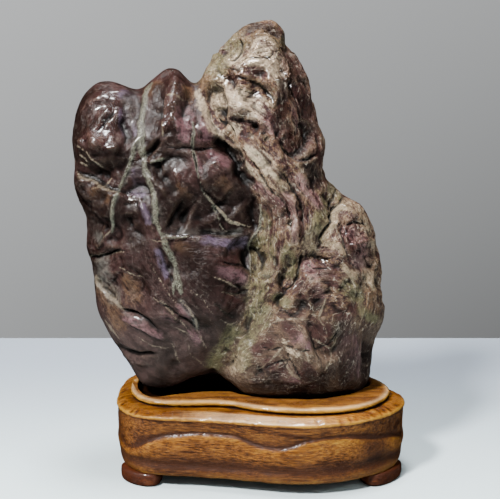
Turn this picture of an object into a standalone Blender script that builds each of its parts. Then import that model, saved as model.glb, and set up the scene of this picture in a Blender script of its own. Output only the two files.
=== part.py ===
"""A viewing stone standing in a carved wooden stand.

The stone is one natural solid with three summits. The stand is carved from one block: a kidney-shaped body
with a waved belly and a skirt, a ledge, and a raised tier with a sunk seat whose floor is cut to the stone's
own foot. Four pads are glued under its corners as feet.

Drawing coordinates are millimetres: X to the right, Y to the back, Z up.
"""
import math

import bmesh
import bpy
import numpy as np
from mathutils import Vector, noise

MM = 0.001

# Where the middle of the finished object's footprint lies on the drawing.
BASE_MIDDLE = (1.3, 2.6, -1.3)

# Heights on the drawing.
TABLE = BASE_MIDDLE[2]
BODY_BOTTOM = 5.5
LEDGE_EDGE = 39.5
LEDGE_INNER = 41.5
TIER_TOP = 46.0
SEAT_FLOOR = 41.0

# Clearances that keep neighbouring solids apart.
SEAT_GAP = 0.4
GLUE_GAP = 0.3

# Front elevation of the stone (x, z), anticlockwise from the left foot.
STONE_OUTLINE = [
    (-57, 47), (-61, 54), (-64.3, 60), (-67.3, 65), (-70, 70), (-72.5, 75), (-75, 80), (-78.8, 89),
    (-80.2, 97), (-80.5, 108), (-81.5, 118), (-83.2, 124), (-84.3, 129), (-83.4, 136), (-84.4, 143),
    (-87.2, 152), (-89.4, 162), (-88.7, 170), (-89.6, 179), (-90.2, 188), (-88.8, 198), (-84.5, 208),
    (-78.5, 215), (-71.8, 217.3), (-65, 215.4), (-58, 212.2), (-54, 211.6), (-47.5, 217.6), (-41, 222.4),
    (-37, 224), (-32.5, 223), (-28.5, 218.8), (-22.6, 213.8), (-19.4, 221), (-15.6, 229), (-9.8, 235.6),
    (-3.5, 241.6), (4.4, 246), (13.4, 247.8), (20.2, 246), (24.6, 241), (27.6, 233.4), (32.4, 227.4),
    (36.4, 220), (38.5, 211), (41.4, 200), (42.3, 193.8), (45.6, 187.2), (46.3, 180.6), (45.3, 175.4),
    (47.3, 169), (50.8, 161.6), (55.2, 158), (57.4, 154.9), (61.4, 153.8), (66.6, 149.4), (71, 141.8),
    (75.2, 131), (77.7, 120), (79.4, 108), (81.2, 93), (80.3, 83), (77.2, 75.4), (75.4, 68), (74.7, 56),
    (73, 46), (67, 40), (54, 37.8), (36, 37.4), (20, 38), (8, 40), (0, 43), (-5.5, 48), (-12, 51.5),
    (-20, 52), (-28, 50), (-34, 46.6), (-41, 44), (-49, 43.4), (-54.5, 44.6),
]
STONE_HEART = (2.0, 128.0)
STONE_FRONT = 31.0
STONE_BACK = 29.0
CROWN = 2.7          # how square the cross-section is: 2 is an ellipse
FOOT_CROWN = 2.6     # and how much squarer it is at the foot
FOOT_SPREAD = math.radians(45)
VOXEL = 2.2
STONE_KEEP = 0.115   # share of the triangles that the decimation keeps

# Broad forms of the stone's front face: (route in the elevation, reach either side, rise towards the viewer).
FRONT_FORMS = [
    ([(-52, 150), (-48, 110)], 34, 6.5),
    ([(-76, 198), (-74, 182)], 15, 6.0),
    ([(-54, 214), (-56, 196), (-58, 180), (-52, 163)], 8, -5.0),
    ([(-37, 224), (-36, 206), (-40, 188)], 9, 4.5),
    ([(-46, 181), (-42, 170)], 8, -3.5),
    ([(-22, 216), (-17, 196), (-8, 180)], 8, -4.0),
    ([(-8, 182), (2, 168), (8, 150), (8, 128)], 9, -7.0),
    ([(8, 128), (5, 104), (1, 84), (-10, 64)], 10, -6.0),
    ([(10, 236), (12, 214)], 17, 5.0),
    ([(14, 190), (20, 168), (30, 146)], 12, 4.5),
    ([(30, 214), (36, 190), (40, 168)], 8, 3.0),
    ([(58, 156), (50, 145), (41, 133), (33, 122)], 8, -5.0),
    ([(62, 138), (66, 112)], 19, 4.5),
    ([(16, 62), (34, 72), (48, 66)], 22, 8.0),
    ([(-28, 148), (-12, 150)], 17, -4.0),
    ([(-10, 118), (-14, 96)], 18, 3.0),
    ([(-86, 171), (-70, 163), (-56, 158)], 5, -2.5),
    ([(-84, 122), (-72, 121)], 5, -1.5),
    ([(-72, 97), (-62, 89), (-44, 80)], 6, -2.5),
    ([(-62, 84), (-46, 74)], 12, 3.5),
]
# Broad forms of the back.
BACK_FORMS = [
    ([(-50, 190), (-46, 120), (-52, 80)], 24, 4.5),
    ([(-24, 214), (-20, 170), (-6, 130)], 13, -6.0),
    ([(10, 235), (18, 190)], 20, 5.0),
    ([(22, 170), (8, 120), (20, 70)], 26, 6.0),
    ([(58, 156), (46, 120), (54, 84)], 12, -4.0),
    ([(70, 126), (72, 92)], 14, 3.5),
    ([(-84, 160), (-50, 146), (-14, 152)], 8, -3.5),
    ([(-60, 96), (-20, 84)], 10, -3.0),
]
# How far each way round the stone its rim leans backwards (+) or forwards: (degrees from +X, lean).
RIM_LEAN = [(-90, 6), (-52, 10), (-25, 6), (0, 5), (35, 2), (75, 4), (100, -2), (130, 4), (160, -4), (200, 1), (225, 6), (245, 9)]

# Plan of the stand's body (x, y), anticlockwise from the left end.
BODY_PLAN = [
    (-70.4, 8), (-69.6, -8), (-66, -19), (-59.5, -27.2), (-50, -32), (-38, -34.6), (-24, -36.2), (-9, -38.8),
    (6, -42), (20, -44.8), (34, -46), (48, -44.2), (62, -39.8), (75, -32.2), (85, -23.2), (91.2, -12.5),
    (92.9, -3), (90.4, 7), (83, 19), (72, 30), (56, 39.5), (36, 46.5), (14, 50), (-10, 51), (-32, 51),
    (-49, 49), (-61, 43), (-67.6, 33), (-70, 21),
]
# Plan of the raised tier.
TIER_PLAN = [
    (-61.6, 8), (-61, -2), (-58.8, -10), (-54.8, -17), (-48.6, -22), (-41, -24.3), (-31, -24.9), (-20, -24.4),
    (-9, -25), (-1, -27.6), (8, -31.6), (17, -34.7), (28, -36.7), (38, -37.2), (48, -36.2), (58, -33.8),
    (67, -29.6), (75, -22.8), (80.6, -14), (83.2, -5), (82.4, 4), (78, 14), (69, 24.5), (55, 33), (36, 39.4),
    (14, 42.6), (-10, 43.4), (-31, 43), (-46, 41), (-55.5, 34), (-60.2, 22),
]
# Plan of the sunk seat.
SEAT_PLAN = [
    (-60.5, 10), (-58.2, 0), (-55, -9), (-50, -15.6), (-43.5, -15.4), (-37, -13), (-29.5, -10.4), (-21, -8.2),
    (-12, -6.6), (-5, -7.4), (0.5, -12), (8, -16), (17, -18.2), (26, -19.8), (36, -20.6), (46, -18.8),
    (55, -15), (63, -9.6), (70, -1), (74.5, 8), (71, 18), (60, 26.5), (44, 31.5), (24, 33.5), (4, 33),
    (-16, 32.5), (-34, 31), (-48, 27), (-57.5, 19.5),
]
PLAN_STEPS = 72      # corners of each section of the stand

# Height of the belly's waved upper edge: (share of the way round from the left end, height).
BELLY_TOP = [
    (0.0, 24.5), (0.04, 25.5), (0.075, 20.5), (0.095, 21), (0.115, 26), (0.137, 29.7), (0.18, 31.8),
    (0.227, 31.4), (0.25, 27.4), (0.276, 26), (0.294, 27), (0.312, 30.5), (0.34, 31.9), (0.37, 31.8),
    (0.41, 28.4), (0.445, 26), (0.475, 22), (0.51, 27), (0.56, 30.5), (0.62, 31.6), (0.68, 31),
    (0.715, 26.5), (0.75, 26), (0.79, 31), (0.84, 31.8), (0.89, 29), (0.925, 22), (0.96, 26),
]
# Carved profile of the body: (height, how far inside the plan, share of the belly's rise and fall).
MEAN_BELLY_TOP = 28.5
BODY_PROFILE = [
    (BODY_BOTTOM, 4.4, 0.0), (BODY_BOTTOM + 0.3, 2.8, 0.0), (7.0, 1.6, 0.0), (10.0, 1.2, 0.0), (12.6, 2.8, 0.0),
    (15.4, 1.8, 0.1), (20.8, 0.9, 0.5), (25.8, 1.3, 1.0), (27.4, 1.9, 1.0), (28.6, 3.1, 1.0),
    (34.4, 1.8, 0.3), (LEDGE_EDGE - 1.8, 1.0, 0.0), (LEDGE_EDGE - 0.7, 0.5, 0.0), (LEDGE_EDGE, 1.3, 0.0),
    (LEDGE_INNER, 8.5, 0.0),
]
# Carved profile of the tier: (height, how far inside its plan).
TIER_PROFILE = [(34.0, 1.2), (LEDGE_INNER + 0.6, 1.2), (LEDGE_INNER + 2.2, -0.6), (TIER_TOP - 1.0, -0.4), (TIER_TOP, 1.0)]

# Profile of the sunk seat: (height, how far inside its plan).
SEAT_PROFILE = [(SEAT_FLOOR, 2.2), (SEAT_FLOOR + 0.8, 1.0), (TIER_TOP - 0.9, 0.3), (TIER_TOP + 0.6, -0.9)]

# Feet: the share of the way round the body where each one is centred.
FEET = {
    "foot_front_left": 0.0865,
    "foot_front_right": 0.446,
    "foot_back_right": 0.587,
    "foot_back_left": 0.918,
}
FOOT_LENGTH = 34.0     # along the body's edge
FOOT_WIDTH = 16.0      # inwards from it
FOOT_PROUD = 0.3       # how far it stands out past the body's plan
FOOT_SIDES = 20
FOOT_SQUARENESS = 0.6  # 1 is an oval, 0 a rectangle
FOOT_PROFILE = [(TABLE, 0.9), (TABLE + 0.8, 0.97), (TABLE + 2.4, 1.0), (5.4, 1.0), (6.2, 0.96)]


def clear_scene():
    for obj in list(bpy.data.objects):
        bpy.data.objects.remove(obj)


def collection(name):
    made = bpy.data.collections.new(name)
    bpy.context.scene.collection.children.link(made)
    return made


def material(name, colour, roughness):
    made = bpy.data.materials.new(name)
    made.use_nodes = True
    shader = made.node_tree.nodes["Principled BSDF"]
    shader.inputs["Base Color"].default_value = (*colour, 1.0)
    shader.inputs["Roughness"].default_value = roughness
    shader.inputs["Metallic"].default_value = 0.0
    return made


def object_of(mesh_builder, name, group, finish):
    """A new object from a bmesh in drawing millimetres, placed by its location."""
    bmesh.ops.recalc_face_normals(mesh_builder, faces=mesh_builder.faces)
    bmesh.ops.scale(mesh_builder, vec=(MM, MM, MM), verts=mesh_builder.verts)
    data = bpy.data.meshes.new(name)
    mesh_builder.to_mesh(data)
    mesh_builder.free()
    data.materials.append(finish)
    data.shade_smooth()
    obj = bpy.data.objects.new(name, data)
    obj.location = -Vector(BASE_MIDDLE) * MM
    group.objects.link(obj)
    return obj


def as_cutter(obj):
    obj.hide_render = True
    obj.display_type = "WIRE"
    return obj


def cut(obj, cutter, name):
    boolean = obj.modifiers.new(name, "BOOLEAN")
    boolean.operation = "DIFFERENCE"
    boolean.object = cutter
    return boolean


def smooth_loop(points, per_span=8):
    """A closed Catmull-Rom curve through points, per_span steps for each of them."""
    p = np.array(points, float)
    before, after, beyond = np.roll(p, 1, 0), np.roll(p, -1, 0), np.roll(p, -2, 0)
    steps = []
    for t in np.arange(per_span) / per_span:
        steps.append(0.5 * (2 * p + (after - before) * t + (2 * before - 5 * p + 4 * after - beyond) * t * t
                            + (3 * p - before - 3 * after + beyond) * t ** 3))
    return np.stack(steps, 1).reshape(-1, 2)


def evenly_round(loop, count):
    """count points at even steps along a closed loop, starting at its first point."""
    closed = np.vstack([loop, loop[:1]])
    along = np.concatenate([[0], np.cumsum(np.linalg.norm(np.diff(closed, axis=0), axis=1))])
    at = np.linspace(0, along[-1], count, endpoint=False)
    return np.stack([np.interp(at, along, closed[:, k]) for k in (0, 1)], 1)


def set_in(ring, inset):
    """The ring moved inwards by inset, square to its own line. The ring runs anticlockwise."""
    along = np.roll(ring, -1, 0) - np.roll(ring, 1, 0)
    along /= np.linalg.norm(along, axis=1)[:, None]
    return ring + np.stack([-along[:, 1], along[:, 0]], 1) * np.broadcast_to(inset, len(ring))[:, None]


def distance_to_route(points, route):
    """Shortest distance from each (x, z) point to a route of straight runs."""
    best = np.full(len(points), 1e9)
    for a, b in zip(np.array(route[:-1], float), np.array(route[1:], float)):
        run = b - a
        t = np.clip(((points - a) @ run) / (run @ run), 0, 1)
        best = np.minimum(best, np.linalg.norm(points - a - t[:, None] * run, axis=1))
    return best


def rise_of(points, forms):
    """Sum of broad ridges (+) and valleys (-) at each (x, z) point."""
    total = np.zeros(len(points))
    for route, reach, rise in forms:
        total += rise * np.exp(-((distance_to_route(points, route) / reach) ** 2))
    return total


def stone_points(unit):
    """The stone's points for points of a unit sphere whose poles face front and back."""
    rim = smooth_loop(STONE_OUTLINE) - STONE_HEART
    rim_turn = np.arctan2(rim[:, 1], rim[:, 0])
    order = np.argsort(rim_turn)
    turn = np.arctan2(unit[:, 2], unit[:, 0])
    reach = np.interp(turn, rim_turn[order], np.hypot(*rim[order].T), period=2 * math.pi)
    share = np.minimum(np.hypot(unit[:, 0], unit[:, 2]), 1)
    x = STONE_HEART[0] + reach * share * np.cos(turn)
    z = STONE_HEART[1] + reach * share * np.sin(turn)
    down = np.angle(np.exp(1j * (turn + math.pi / 2)))
    thick = np.sqrt(1 - share ** (CROWN + FOOT_CROWN * np.exp(-((down / FOOT_SPREAD) ** 2))))
    elevation = np.stack([x, z], 1)
    front = STONE_FRONT + rise_of(elevation, FRONT_FORMS)
    back = STONE_BACK + rise_of(elevation, BACK_FORMS)
    lean_turn, lean = np.radians([a for a, _ in RIM_LEAN]), [b for _, b in RIM_LEAN]
    y = share ** 2 * np.interp(turn, lean_turn, lean, period=2 * math.pi)
    y += np.where(unit[:, 1] < 0, -front, back) * thick
    return np.stack([x, y, z], 1)


def weathered(points):
    """The points moved by the stone's broad weathering, which leaves its outline alone."""
    moved = []
    for x, y, z in points:
        at = Vector((x, y, z))
        swell = noise.fractal(at / 38, 1.0, 2.0, 3) * 1.6 + noise.fractal(at / 13 + Vector((7, 3, 1)), 1.0, 2.0, 2) * 0.5
        moved.append((x, y + swell * math.copysign(min(abs(y) / 10, 1), y), z))
    return np.array(moved)


def make_stone(name, group, finish):
    ball = bmesh.new()
    bmesh.ops.create_uvsphere(ball, u_segments=180, v_segments=90, radius=1)
    unit = np.array([(v.co.x, v.co.z, -v.co.y) for v in ball.verts])
    for vert, point in zip(ball.verts, weathered(stone_points(unit))):
        vert.co = point
    stone = object_of(ball, name, group, finish)
    remesh = stone.modifiers.new("even skin", "REMESH")
    remesh.mode = "VOXEL"
    remesh.voxel_size = VOXEL * MM
    remesh.use_smooth_shade = True
    fewer = stone.modifiers.new("fewer faces", "DECIMATE")
    fewer.ratio = STONE_KEEP
    return stone


def loft(rings):
    """A closed bmesh through rings of equal count, capped at both ends."""
    built = bmesh.new()
    levels = [[built.verts.new(point) for point in ring] for ring in rings]
    count = len(levels[0])
    for low, high in zip(levels[:-1], levels[1:]):
        for i in range(count):
            j = (i + 1) % count
            built.faces.new((low[i], low[j], high[j], high[i]))
    built.faces.new(levels[0][::-1])
    built.faces.new(levels[-1])
    return built


def at_height(ring, height):
    return np.column_stack([ring, np.broadcast_to(height, len(ring))])


def body_plan(steps):
    return evenly_round(smooth_loop(BODY_PLAN), steps)


def body_rings(grown=0.0):
    """Sections of the stand's body from its underside to its ledge, grown outwards by a clearance."""
    plan = body_plan(PLAN_STEPS)
    share = np.arange(PLAN_STEPS) / PLAN_STEPS
    belly = np.interp(share, [s for s, _ in BELLY_TOP], [h for _, h in BELLY_TOP], period=1.0) - MEAN_BELLY_TOP
    rings = [at_height(set_in(plan, inset - grown), height + belly * sway) for height, inset, sway in BODY_PROFILE]
    rings[0][:, 2] -= grown
    rings[-1][:, 2] += grown
    return rings


def tier_rings():
    plan = evenly_round(smooth_loop(TIER_PLAN), PLAN_STEPS)
    return [at_height(set_in(plan, inset), height) for height, inset in TIER_PROFILE]


def seat_rings():
    plan = evenly_round(smooth_loop(SEAT_PLAN), PLAN_STEPS)
    return [at_height(set_in(plan, inset), height) for height, inset in SEAT_PROFILE]


def make_stand(group, helpers, finish, stone):
    """The body and tier joined, with the seat cut to the stone."""
    stand = object_of(loft(body_rings()), "stand", group, finish)
    tier = as_cutter(object_of(loft(tier_rings()), "tier_block", helpers, finish))
    union = stand.modifiers.new("raised tier", "BOOLEAN")
    union.operation = "UNION"
    union.object = tier
    pocket = as_cutter(object_of(loft(seat_rings()), "sunk_seat", helpers, finish))
    cut(stand, pocket, "sunk seat")
    graph = bpy.context.evaluated_depsgraph_get()
    bed = bpy.data.objects.new("stone_bed", bpy.data.meshes.new_from_object(stone.evaluated_get(graph)))
    bed.location = stone.location
    helpers.objects.link(as_cutter(bed))
    ease = bed.modifiers.new("clearance", "DISPLACE")
    ease.mid_level = 0.0
    ease.strength = SEAT_GAP * MM
    cut(stand, bed, "bed for the stone")
    return stand


def make_foot(name, middle, group, finish, clearance):
    """A pad that follows the body's edge, its top cut to the underside of the stand."""
    plan = body_plan(400)
    perimeter = np.linalg.norm(np.roll(plan, -1, 0) - plan, axis=1).sum()
    turn = np.arange(FOOT_SIDES) * 2 * math.pi / FOOT_SIDES
    bulge = np.stack([np.cos(turn), np.sin(turn)])
    bulge = np.sign(bulge) * np.abs(bulge) ** FOOT_SQUARENESS
    rings = []
    for height, size in FOOT_PROFILE:
        share = middle + bulge[0] * size * FOOT_LENGTH / 2 / perimeter
        inset = FOOT_WIDTH / 2 - FOOT_PROUD - bulge[1] * size * FOOT_WIDTH / 2
        at = np.floor(share * len(plan)).astype(int) % len(plan)
        inner = set_in(plan, 1.0) - plan
        rings.append(at_height(plan[at] + inner[at] * inset[:, None], height))
    foot = object_of(loft(rings), name, group, finish)
    cut(foot, clearance, "underside of the stand")
    return foot


def main():
    clear_scene()
    parts = collection("viewing_stone")
    helpers = collection("cutters")
    stone_finish = material("stone", (0.20, 0.13, 0.12), 0.32)
    wood_finish = material("stained_wood", (0.42, 0.19, 0.055), 0.30)
    foot_finish = material("foot_wood", (0.33, 0.10, 0.03), 0.25)

    stone = make_stone("stone", parts, stone_finish)
    make_stand(parts, helpers, wood_finish, stone)
    clearance = as_cutter(object_of(loft(body_rings(GLUE_GAP)), "glue_line", helpers, wood_finish))
    for name, middle in FEET.items():
        make_foot(name, middle, parts, foot_finish, clearance)


main()
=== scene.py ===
"""A viewing stone on its carved wooden stand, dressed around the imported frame."""
import math

import bmesh
import bpy
import numpy as np
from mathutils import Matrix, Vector, noise


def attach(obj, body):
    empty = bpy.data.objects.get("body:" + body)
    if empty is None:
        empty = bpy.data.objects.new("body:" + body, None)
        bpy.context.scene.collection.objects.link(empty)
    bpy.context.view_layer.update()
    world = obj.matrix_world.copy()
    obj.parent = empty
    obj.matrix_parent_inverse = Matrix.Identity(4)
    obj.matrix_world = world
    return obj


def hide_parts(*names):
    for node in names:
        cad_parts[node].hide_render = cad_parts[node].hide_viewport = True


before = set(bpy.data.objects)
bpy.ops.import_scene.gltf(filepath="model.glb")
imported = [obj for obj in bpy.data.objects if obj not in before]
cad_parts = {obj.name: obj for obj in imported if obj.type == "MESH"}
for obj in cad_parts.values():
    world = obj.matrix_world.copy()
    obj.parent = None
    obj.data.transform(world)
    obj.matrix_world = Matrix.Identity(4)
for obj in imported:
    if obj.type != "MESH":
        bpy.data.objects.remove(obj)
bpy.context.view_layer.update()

# ---------------------------------------------------------------------------------------------------------
# The stone: one piece of banded purple-brown and cream rock, split by pale veins and old cracks, rubbed with
# wax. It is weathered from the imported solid: skinned evenly, chipped into facets, then cut and raised along
# each vein, crack and ledge. Routes are written in a front elevation 500 wide and 499 high, v downwards.
# ---------------------------------------------------------------------------------------------------------
MM = 0.001
EYE = np.array([4.2, -589.5, 251.0]) * MM      # the elevation is drawn from here
EYE_TILT = math.radians(12)
ELEVATION_WIDTH = 500
ELEVATION_HEIGHT = 499
ELEVATION_FOCUS = 1090.9

# Where the smooth left block ends and the rough right mass begins, down the elevation: (u, v).
PARTING = [
    (190, 40), (196, 86), (200, 105), (206, 122), (214, 138), (228, 160), (243, 180), (252, 202),
    (257, 218), (255, 236), (252, 256), (249, 280), (244, 305), (238, 322), (224, 340), (213, 356),
    (208, 375), (206, 400),
]

# Worked features: (profile, reach in elevation units, rise in mm, route).
LOBE = [
    ("crest", 9, 1.5, [(84, 107), (92, 101), (102, 98), (112, 100)]),
    ("groove", 1.8, -0.8, [(100, 131), (106, 123), (112, 115), (118, 107)]),
    ("crest", 5, 1.0, [(104, 131), (110, 122), (116, 113), (121, 105)]),
    ("crest", 5, 1.0, [(96, 134), (101, 120), (108, 108)]),
    ("crest", 7, 1.9, [(89, 118), (92, 130), (97, 139), (104, 148), (113, 150)]),
    ("eave", 30, 4.2, [(76, 142), (84, 141), (93, 139), (99, 144), (105, 150), (116, 151), (124, 146)]),
    ("groove", 9, -1.6, [(92, 166), (106, 172), (118, 168)]),
    ("crest", 2.5, 0.6, [(79, 147), (85, 147), (92, 152)]),
    ("crest", 2.5, 0.7, [(80, 153), (86, 157), (90, 162)]),
    ("crest", 2.5, 0.7, [(92, 152), (98, 160), (104, 169)]),
    ("ledge", 22, 3.4, [(130, 192), (118, 191), (105, 187), (98, 183), (88, 178), (74, 171)]),
    ("groove", 4, -1.6, [(121, 99), (124, 112), (121, 124), (128, 136), (122, 150)]),
    ("crest", 3, 0.7, [(112, 92), (122, 92), (134, 95)]),
]
MIDDLE_PEAK = [
    ("ridge", 7, 2.6, [(172, 72), (173, 90), (170, 108), (166, 122), (164, 135)]),
    ("crest", 3, 0.9, [(167, 92), (166, 104), (163, 118), (165, 130), (170, 138)]),
    ("groove", 7, -1.4, [(160, 92), (159, 110), (157, 126)]),
    ("groove", 13, -3.4, [(150, 145), (155, 150)]),
    ("crest", 4, 2.0, [(146, 161), (155, 161), (163, 156)]),
    ("groove", 8, -2.2, [(153, 168), (162, 167)]),
    ("crest", 7, 1.9, [(149, 174), (157, 184), (164, 193), (170, 199)]),
    ("groove", 6, -2.2, [(160, 172), (170, 184), (178, 196)]),
    ("crest", 4, 0.8, [(174, 172), (177, 180), (179, 189)]),
    ("groove", 1.5, -1.4, [(167, 147), (180, 149), (191, 148), (203, 149), (216, 148)]),
    ("groove", 1.5, -0.7, [(193, 120), (194, 135), (193, 150), (197, 165), (199, 180), (203, 193)]),
    ("ridge", 11, 1.6, [(183, 112), (184, 132)]),
    ("ridge", 9, 1.4, [(205, 122), (206, 138)]),
    ("ridge", 13, 2.0, [(207, 160), (221, 172), (231, 183)]),
    ("crest", 4, 0.9, [(214, 150), (222, 158), (230, 168), (237, 177)]),
    ("ledge", 14, 1.5, [(196, 176), (206, 190), (214, 198), (226, 207)]),
]
CREVICE = [
    ("groove", 3.6, -2.6, [(211, 138), (220, 146), (228, 157), (236, 168), (244, 181)]),
    ("groove", 7, -2.4, [(222, 143), (232, 154), (241, 168), (248, 184), (253, 198)]),
    ("crest", 3, 1.3, [(222, 141), (229, 146), (234, 149)]),
    ("groove", 15, -2.6, [(222, 196), (240, 212)]),
    ("crest", 1.6, 0.7, [(204, 194), (216, 208), (230, 219), (250, 229)]),
    ("crest", 1.4, 0.5, [(212, 207), (222, 222), (232, 231)]),
    ("groove", 16, -4.0, [(172, 212), (190, 222)]),
    ("crest", 3, 1.7, [(160, 240), (172, 238), (189, 237)]),
    ("ledge", 26, -2.0, [(186, 238), (205, 236), (228, 234), (252, 232)]),
]
LEFT_FLANK = [
    ("crest", 4, 1.9, [(139, 194), (145, 212), (150, 226), (158, 238)]),
    ("groove", 12, -2.6, [(129, 212), (132, 232), (138, 246)]),
    ("crest", 5, 1.4, [(117, 195), (114, 212), (112, 226), (103, 238)]),
    ("ridge", 8, 1.6, [(130, 192), (131, 203)]),
    ("groove", 3, -1.2, [(158, 241), (163, 255), (168, 270), (173, 285)]),
    ("groove", 7, -1.8, [(85, 198), (92, 219)]),
    ("crest", 4, 1.3, [(97, 213), (99, 228), (103, 238), (96, 247), (90, 240)]),
    ("groove", 1.9, -2.2, [(86, 257), (96, 258), (103, 256), (112, 253), (124, 251)]),
    ("ridge", 16, 1.6, [(100, 270), (112, 280)]),
    ("ledge", 20, -2.0, [(94, 272), (101, 289), (107, 298), (115, 303), (123, 311)]),
    ("groove", 2.4, -3.2, [(120, 309), (128, 313), (136, 316), (147, 322), (158, 331)]),
    ("crest", 4, 1.7, [(124, 319), (135, 325), (147, 330), (164, 339)]),
    ("groove", 2.2, -2.2, [(117, 345), (126, 352), (136, 356), (147, 356), (157, 354)]),
    ("crest", 4, 0.9, [(121, 352), (129, 359), (138, 364), (148, 368)]),
    ("crest", 3.5, 1.3, [(157, 312), (168, 316), (179, 323)]),
    ("groove", 1.6, -1.0, [(158, 302), (172, 311), (184, 320), (201, 334)]),
    ("crest", 3, 1.1, [(173, 303), (183, 311), (193, 320)]),
    ("crest", 2.2, 0.9, [(181, 301), (190, 310), (196, 321), (199, 334)]),
    ("ridge", 5, 1.1, [(188, 334), (197, 339), (208, 350)]),
    ("crest", 3, 0.8, [(213, 277), (226, 283), (240, 287)]),
    ("groove", 1.5, -0.9, [(217, 262), (232, 264), (251, 265)]),
    ("groove", 1.4, -0.8, [(212, 300), (222, 310), (233, 319)]),
    ("groove", 1.4, -0.7, [(222, 293), (236, 294), (250, 291)]),
    ("ridge", 9, 1.0, [(225, 300), (235, 310)]),
    ("groove", 5, -1.2, [(165, 352), (172, 362), (185, 368)]),
]
BAND = [
    ("crest", 2.2, 0.6, [(257, 206), (257, 225), (254, 240), (253, 255), (251, 276)]),
    ("groove", 5, -1.2, [(263, 236), (260, 256), (257, 276)]),
    ("groove", 8, -3.0, [(243, 328), (231, 344), (220, 362)]),
    ("ridge", 8, 2.0, [(264, 262), (259, 285), (253, 305), (247, 322)]),
    ("groove", 2.0, -2.0, [(301, 248), (300, 262), (299, 273), (295, 282), (288, 288), (284, 294)]),
    ("groove", 4, -1.6, [(285, 290), (275, 300), (266, 306)]),
    ("ridge", 6, 1.4, [(288, 262), (290, 276)]),
    ("ridge", 9, 2.2, [(240, 363), (248, 352)]),
    ("groove", 5, -2.0, [(252, 377), (262, 371)]),
]
TALL_PEAK = [
    ("ledge", 20, 2.6, [(230, 72), (242, 76), (252, 80), (262, 84), (269, 91), (273, 99), (277, 108)]),
    ("groove", 1.8, -1.2, [(232, 75), (243, 78), (254, 81), (263, 86), (270, 94), (274, 104)]),
    ("groove", 1.8, -1.1, [(221, 63), (229, 69), (237, 71), (246, 68)]),
    ("groove", 1.3, -0.8, [(243, 56), (252, 57), (262, 58), (271, 55), (280, 51)]),
    ("crest", 2.5, 1.1, [(241, 43), (244, 50), (247, 57)]),
    ("crest", 3, 1.2, [(260, 42), (272, 47), (282, 55)]),
    ("groove", 4, -1.2, [(252, 72), (260, 72)]),
    ("ledge", 16, 2.4, [(226, 119), (240, 117), (250, 120), (259, 125), (267, 132)]),
    ("groove", 7, -2.0, [(247, 126), (258, 129)]),
    ("groove", 4, -1.8, [(263, 130), (268, 142)]),
    ("groove", 2, -1.7, [(213, 103), (219, 113), (225, 120), (229, 129), (234, 139)]),
    ("ridge", 7, 1.5, [(203, 98), (208, 114), (214, 128)]),
    ("crest", 5, 2.2, [(284, 58), (288, 75), (286, 90), (290, 101)]),
    ("groove", 6, -2.2, [(283, 106), (285, 120), (280, 136), (283, 150)]),
    ("crest", 5, 1.8, [(291, 103), (297, 115), (303, 130), (305, 146)]),
    ("groove", 6, -2.2, [(300, 88), (306, 108), (311, 130)]),
    ("groove", 2, -1.8, [(287, 150), (298, 160), (310, 158), (322, 151)]),
    ("ridge", 4, 0.9, [(240, 33), (255, 37), (268, 31)]),
    ("groove", 1.6, -0.8, [(238, 30), (240, 42), (236, 50), (226, 57)]),
    ("groove", 1.6, -0.8, [(264, 30), (272, 38), (280, 47), (288, 52)]),
    ("groove", 1.5, -1.0, [(288, 78), (296, 96), (300, 114), (308, 132)]),
    ("crest", 2.6, 1.2, [(290, 118), (297, 128), (299, 142), (306, 150)]),
    ("groove", 1.5, -0.8, [(232, 88), (246, 92), (258, 90)]),
    ("groove", 1.4, -0.7, [(234, 106), (248, 110), (262, 116)]),
    ("ridge", 7, 1.6, [(222, 88), (218, 100)]),
    ("ridge", 5, 1.2, [(213, 80), (219, 78)]),
]
NECK = [
    ("crest", 4, 0.6, [(242, 152), (252, 169), (262, 185), (270, 198)]),
    ("groove", 1.7, -0.8, [(247, 157), (257, 170), (265, 183), (271, 196)]),
    ("groove", 1.7, -0.8, [(266, 188), (278, 198), (286, 207), (290, 218), (291, 232)]),
    ("crest", 6, 0.9, [(288, 190), (295, 208), (297, 224), (296, 242)]),
    ("groove", 1.9, -0.9, [(280, 170), (292, 185), (301, 200), (305, 212), (304, 232)]),
    ("crest", 5, 0.9, [(297, 172), (306, 190), (316, 202), (324, 213)]),
    ("groove", 8, -2.2, [(307, 158), (313, 175), (322, 192)]),
    ("groove", 6, -1.1, [(308, 212), (307, 228), (306, 246)]),
    ("ridge", 9, 1.1, [(272, 210), (279, 218)]),
    ("crest", 3, 0.4, [(262, 150), (272, 165), (284, 178)]),
]
SHOULDER = [
    ("groove", 2.0, -2.0, [(344, 196), (338, 206), (333, 218), (326, 232), (321, 241)]),
    ("crest", 6, 2.0, [(348, 203), (342, 215), (334, 229)]),
    ("crest", 3, 1.0, [(322, 241), (334, 239), (343, 248)]),
    ("groove", 1.6, -1.0, [(341, 230), (345, 248), (350, 262), (358, 271)]),
    ("groove", 1.6, -0.9, [(345, 226), (356, 221), (368, 225)]),
    ("groove", 2, -1.0, [(338, 187), (336, 198), (332, 212)]),
    ("ridge", 10, 1.5, [(356, 236), (363, 250)]),
    ("groove", 1.5, -0.8, [(306, 251), (320, 256), (333, 257), (344, 262)]),
    ("groove", 1.5, -0.8, [(304, 262), (316, 268), (330, 267)]),
]
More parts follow.
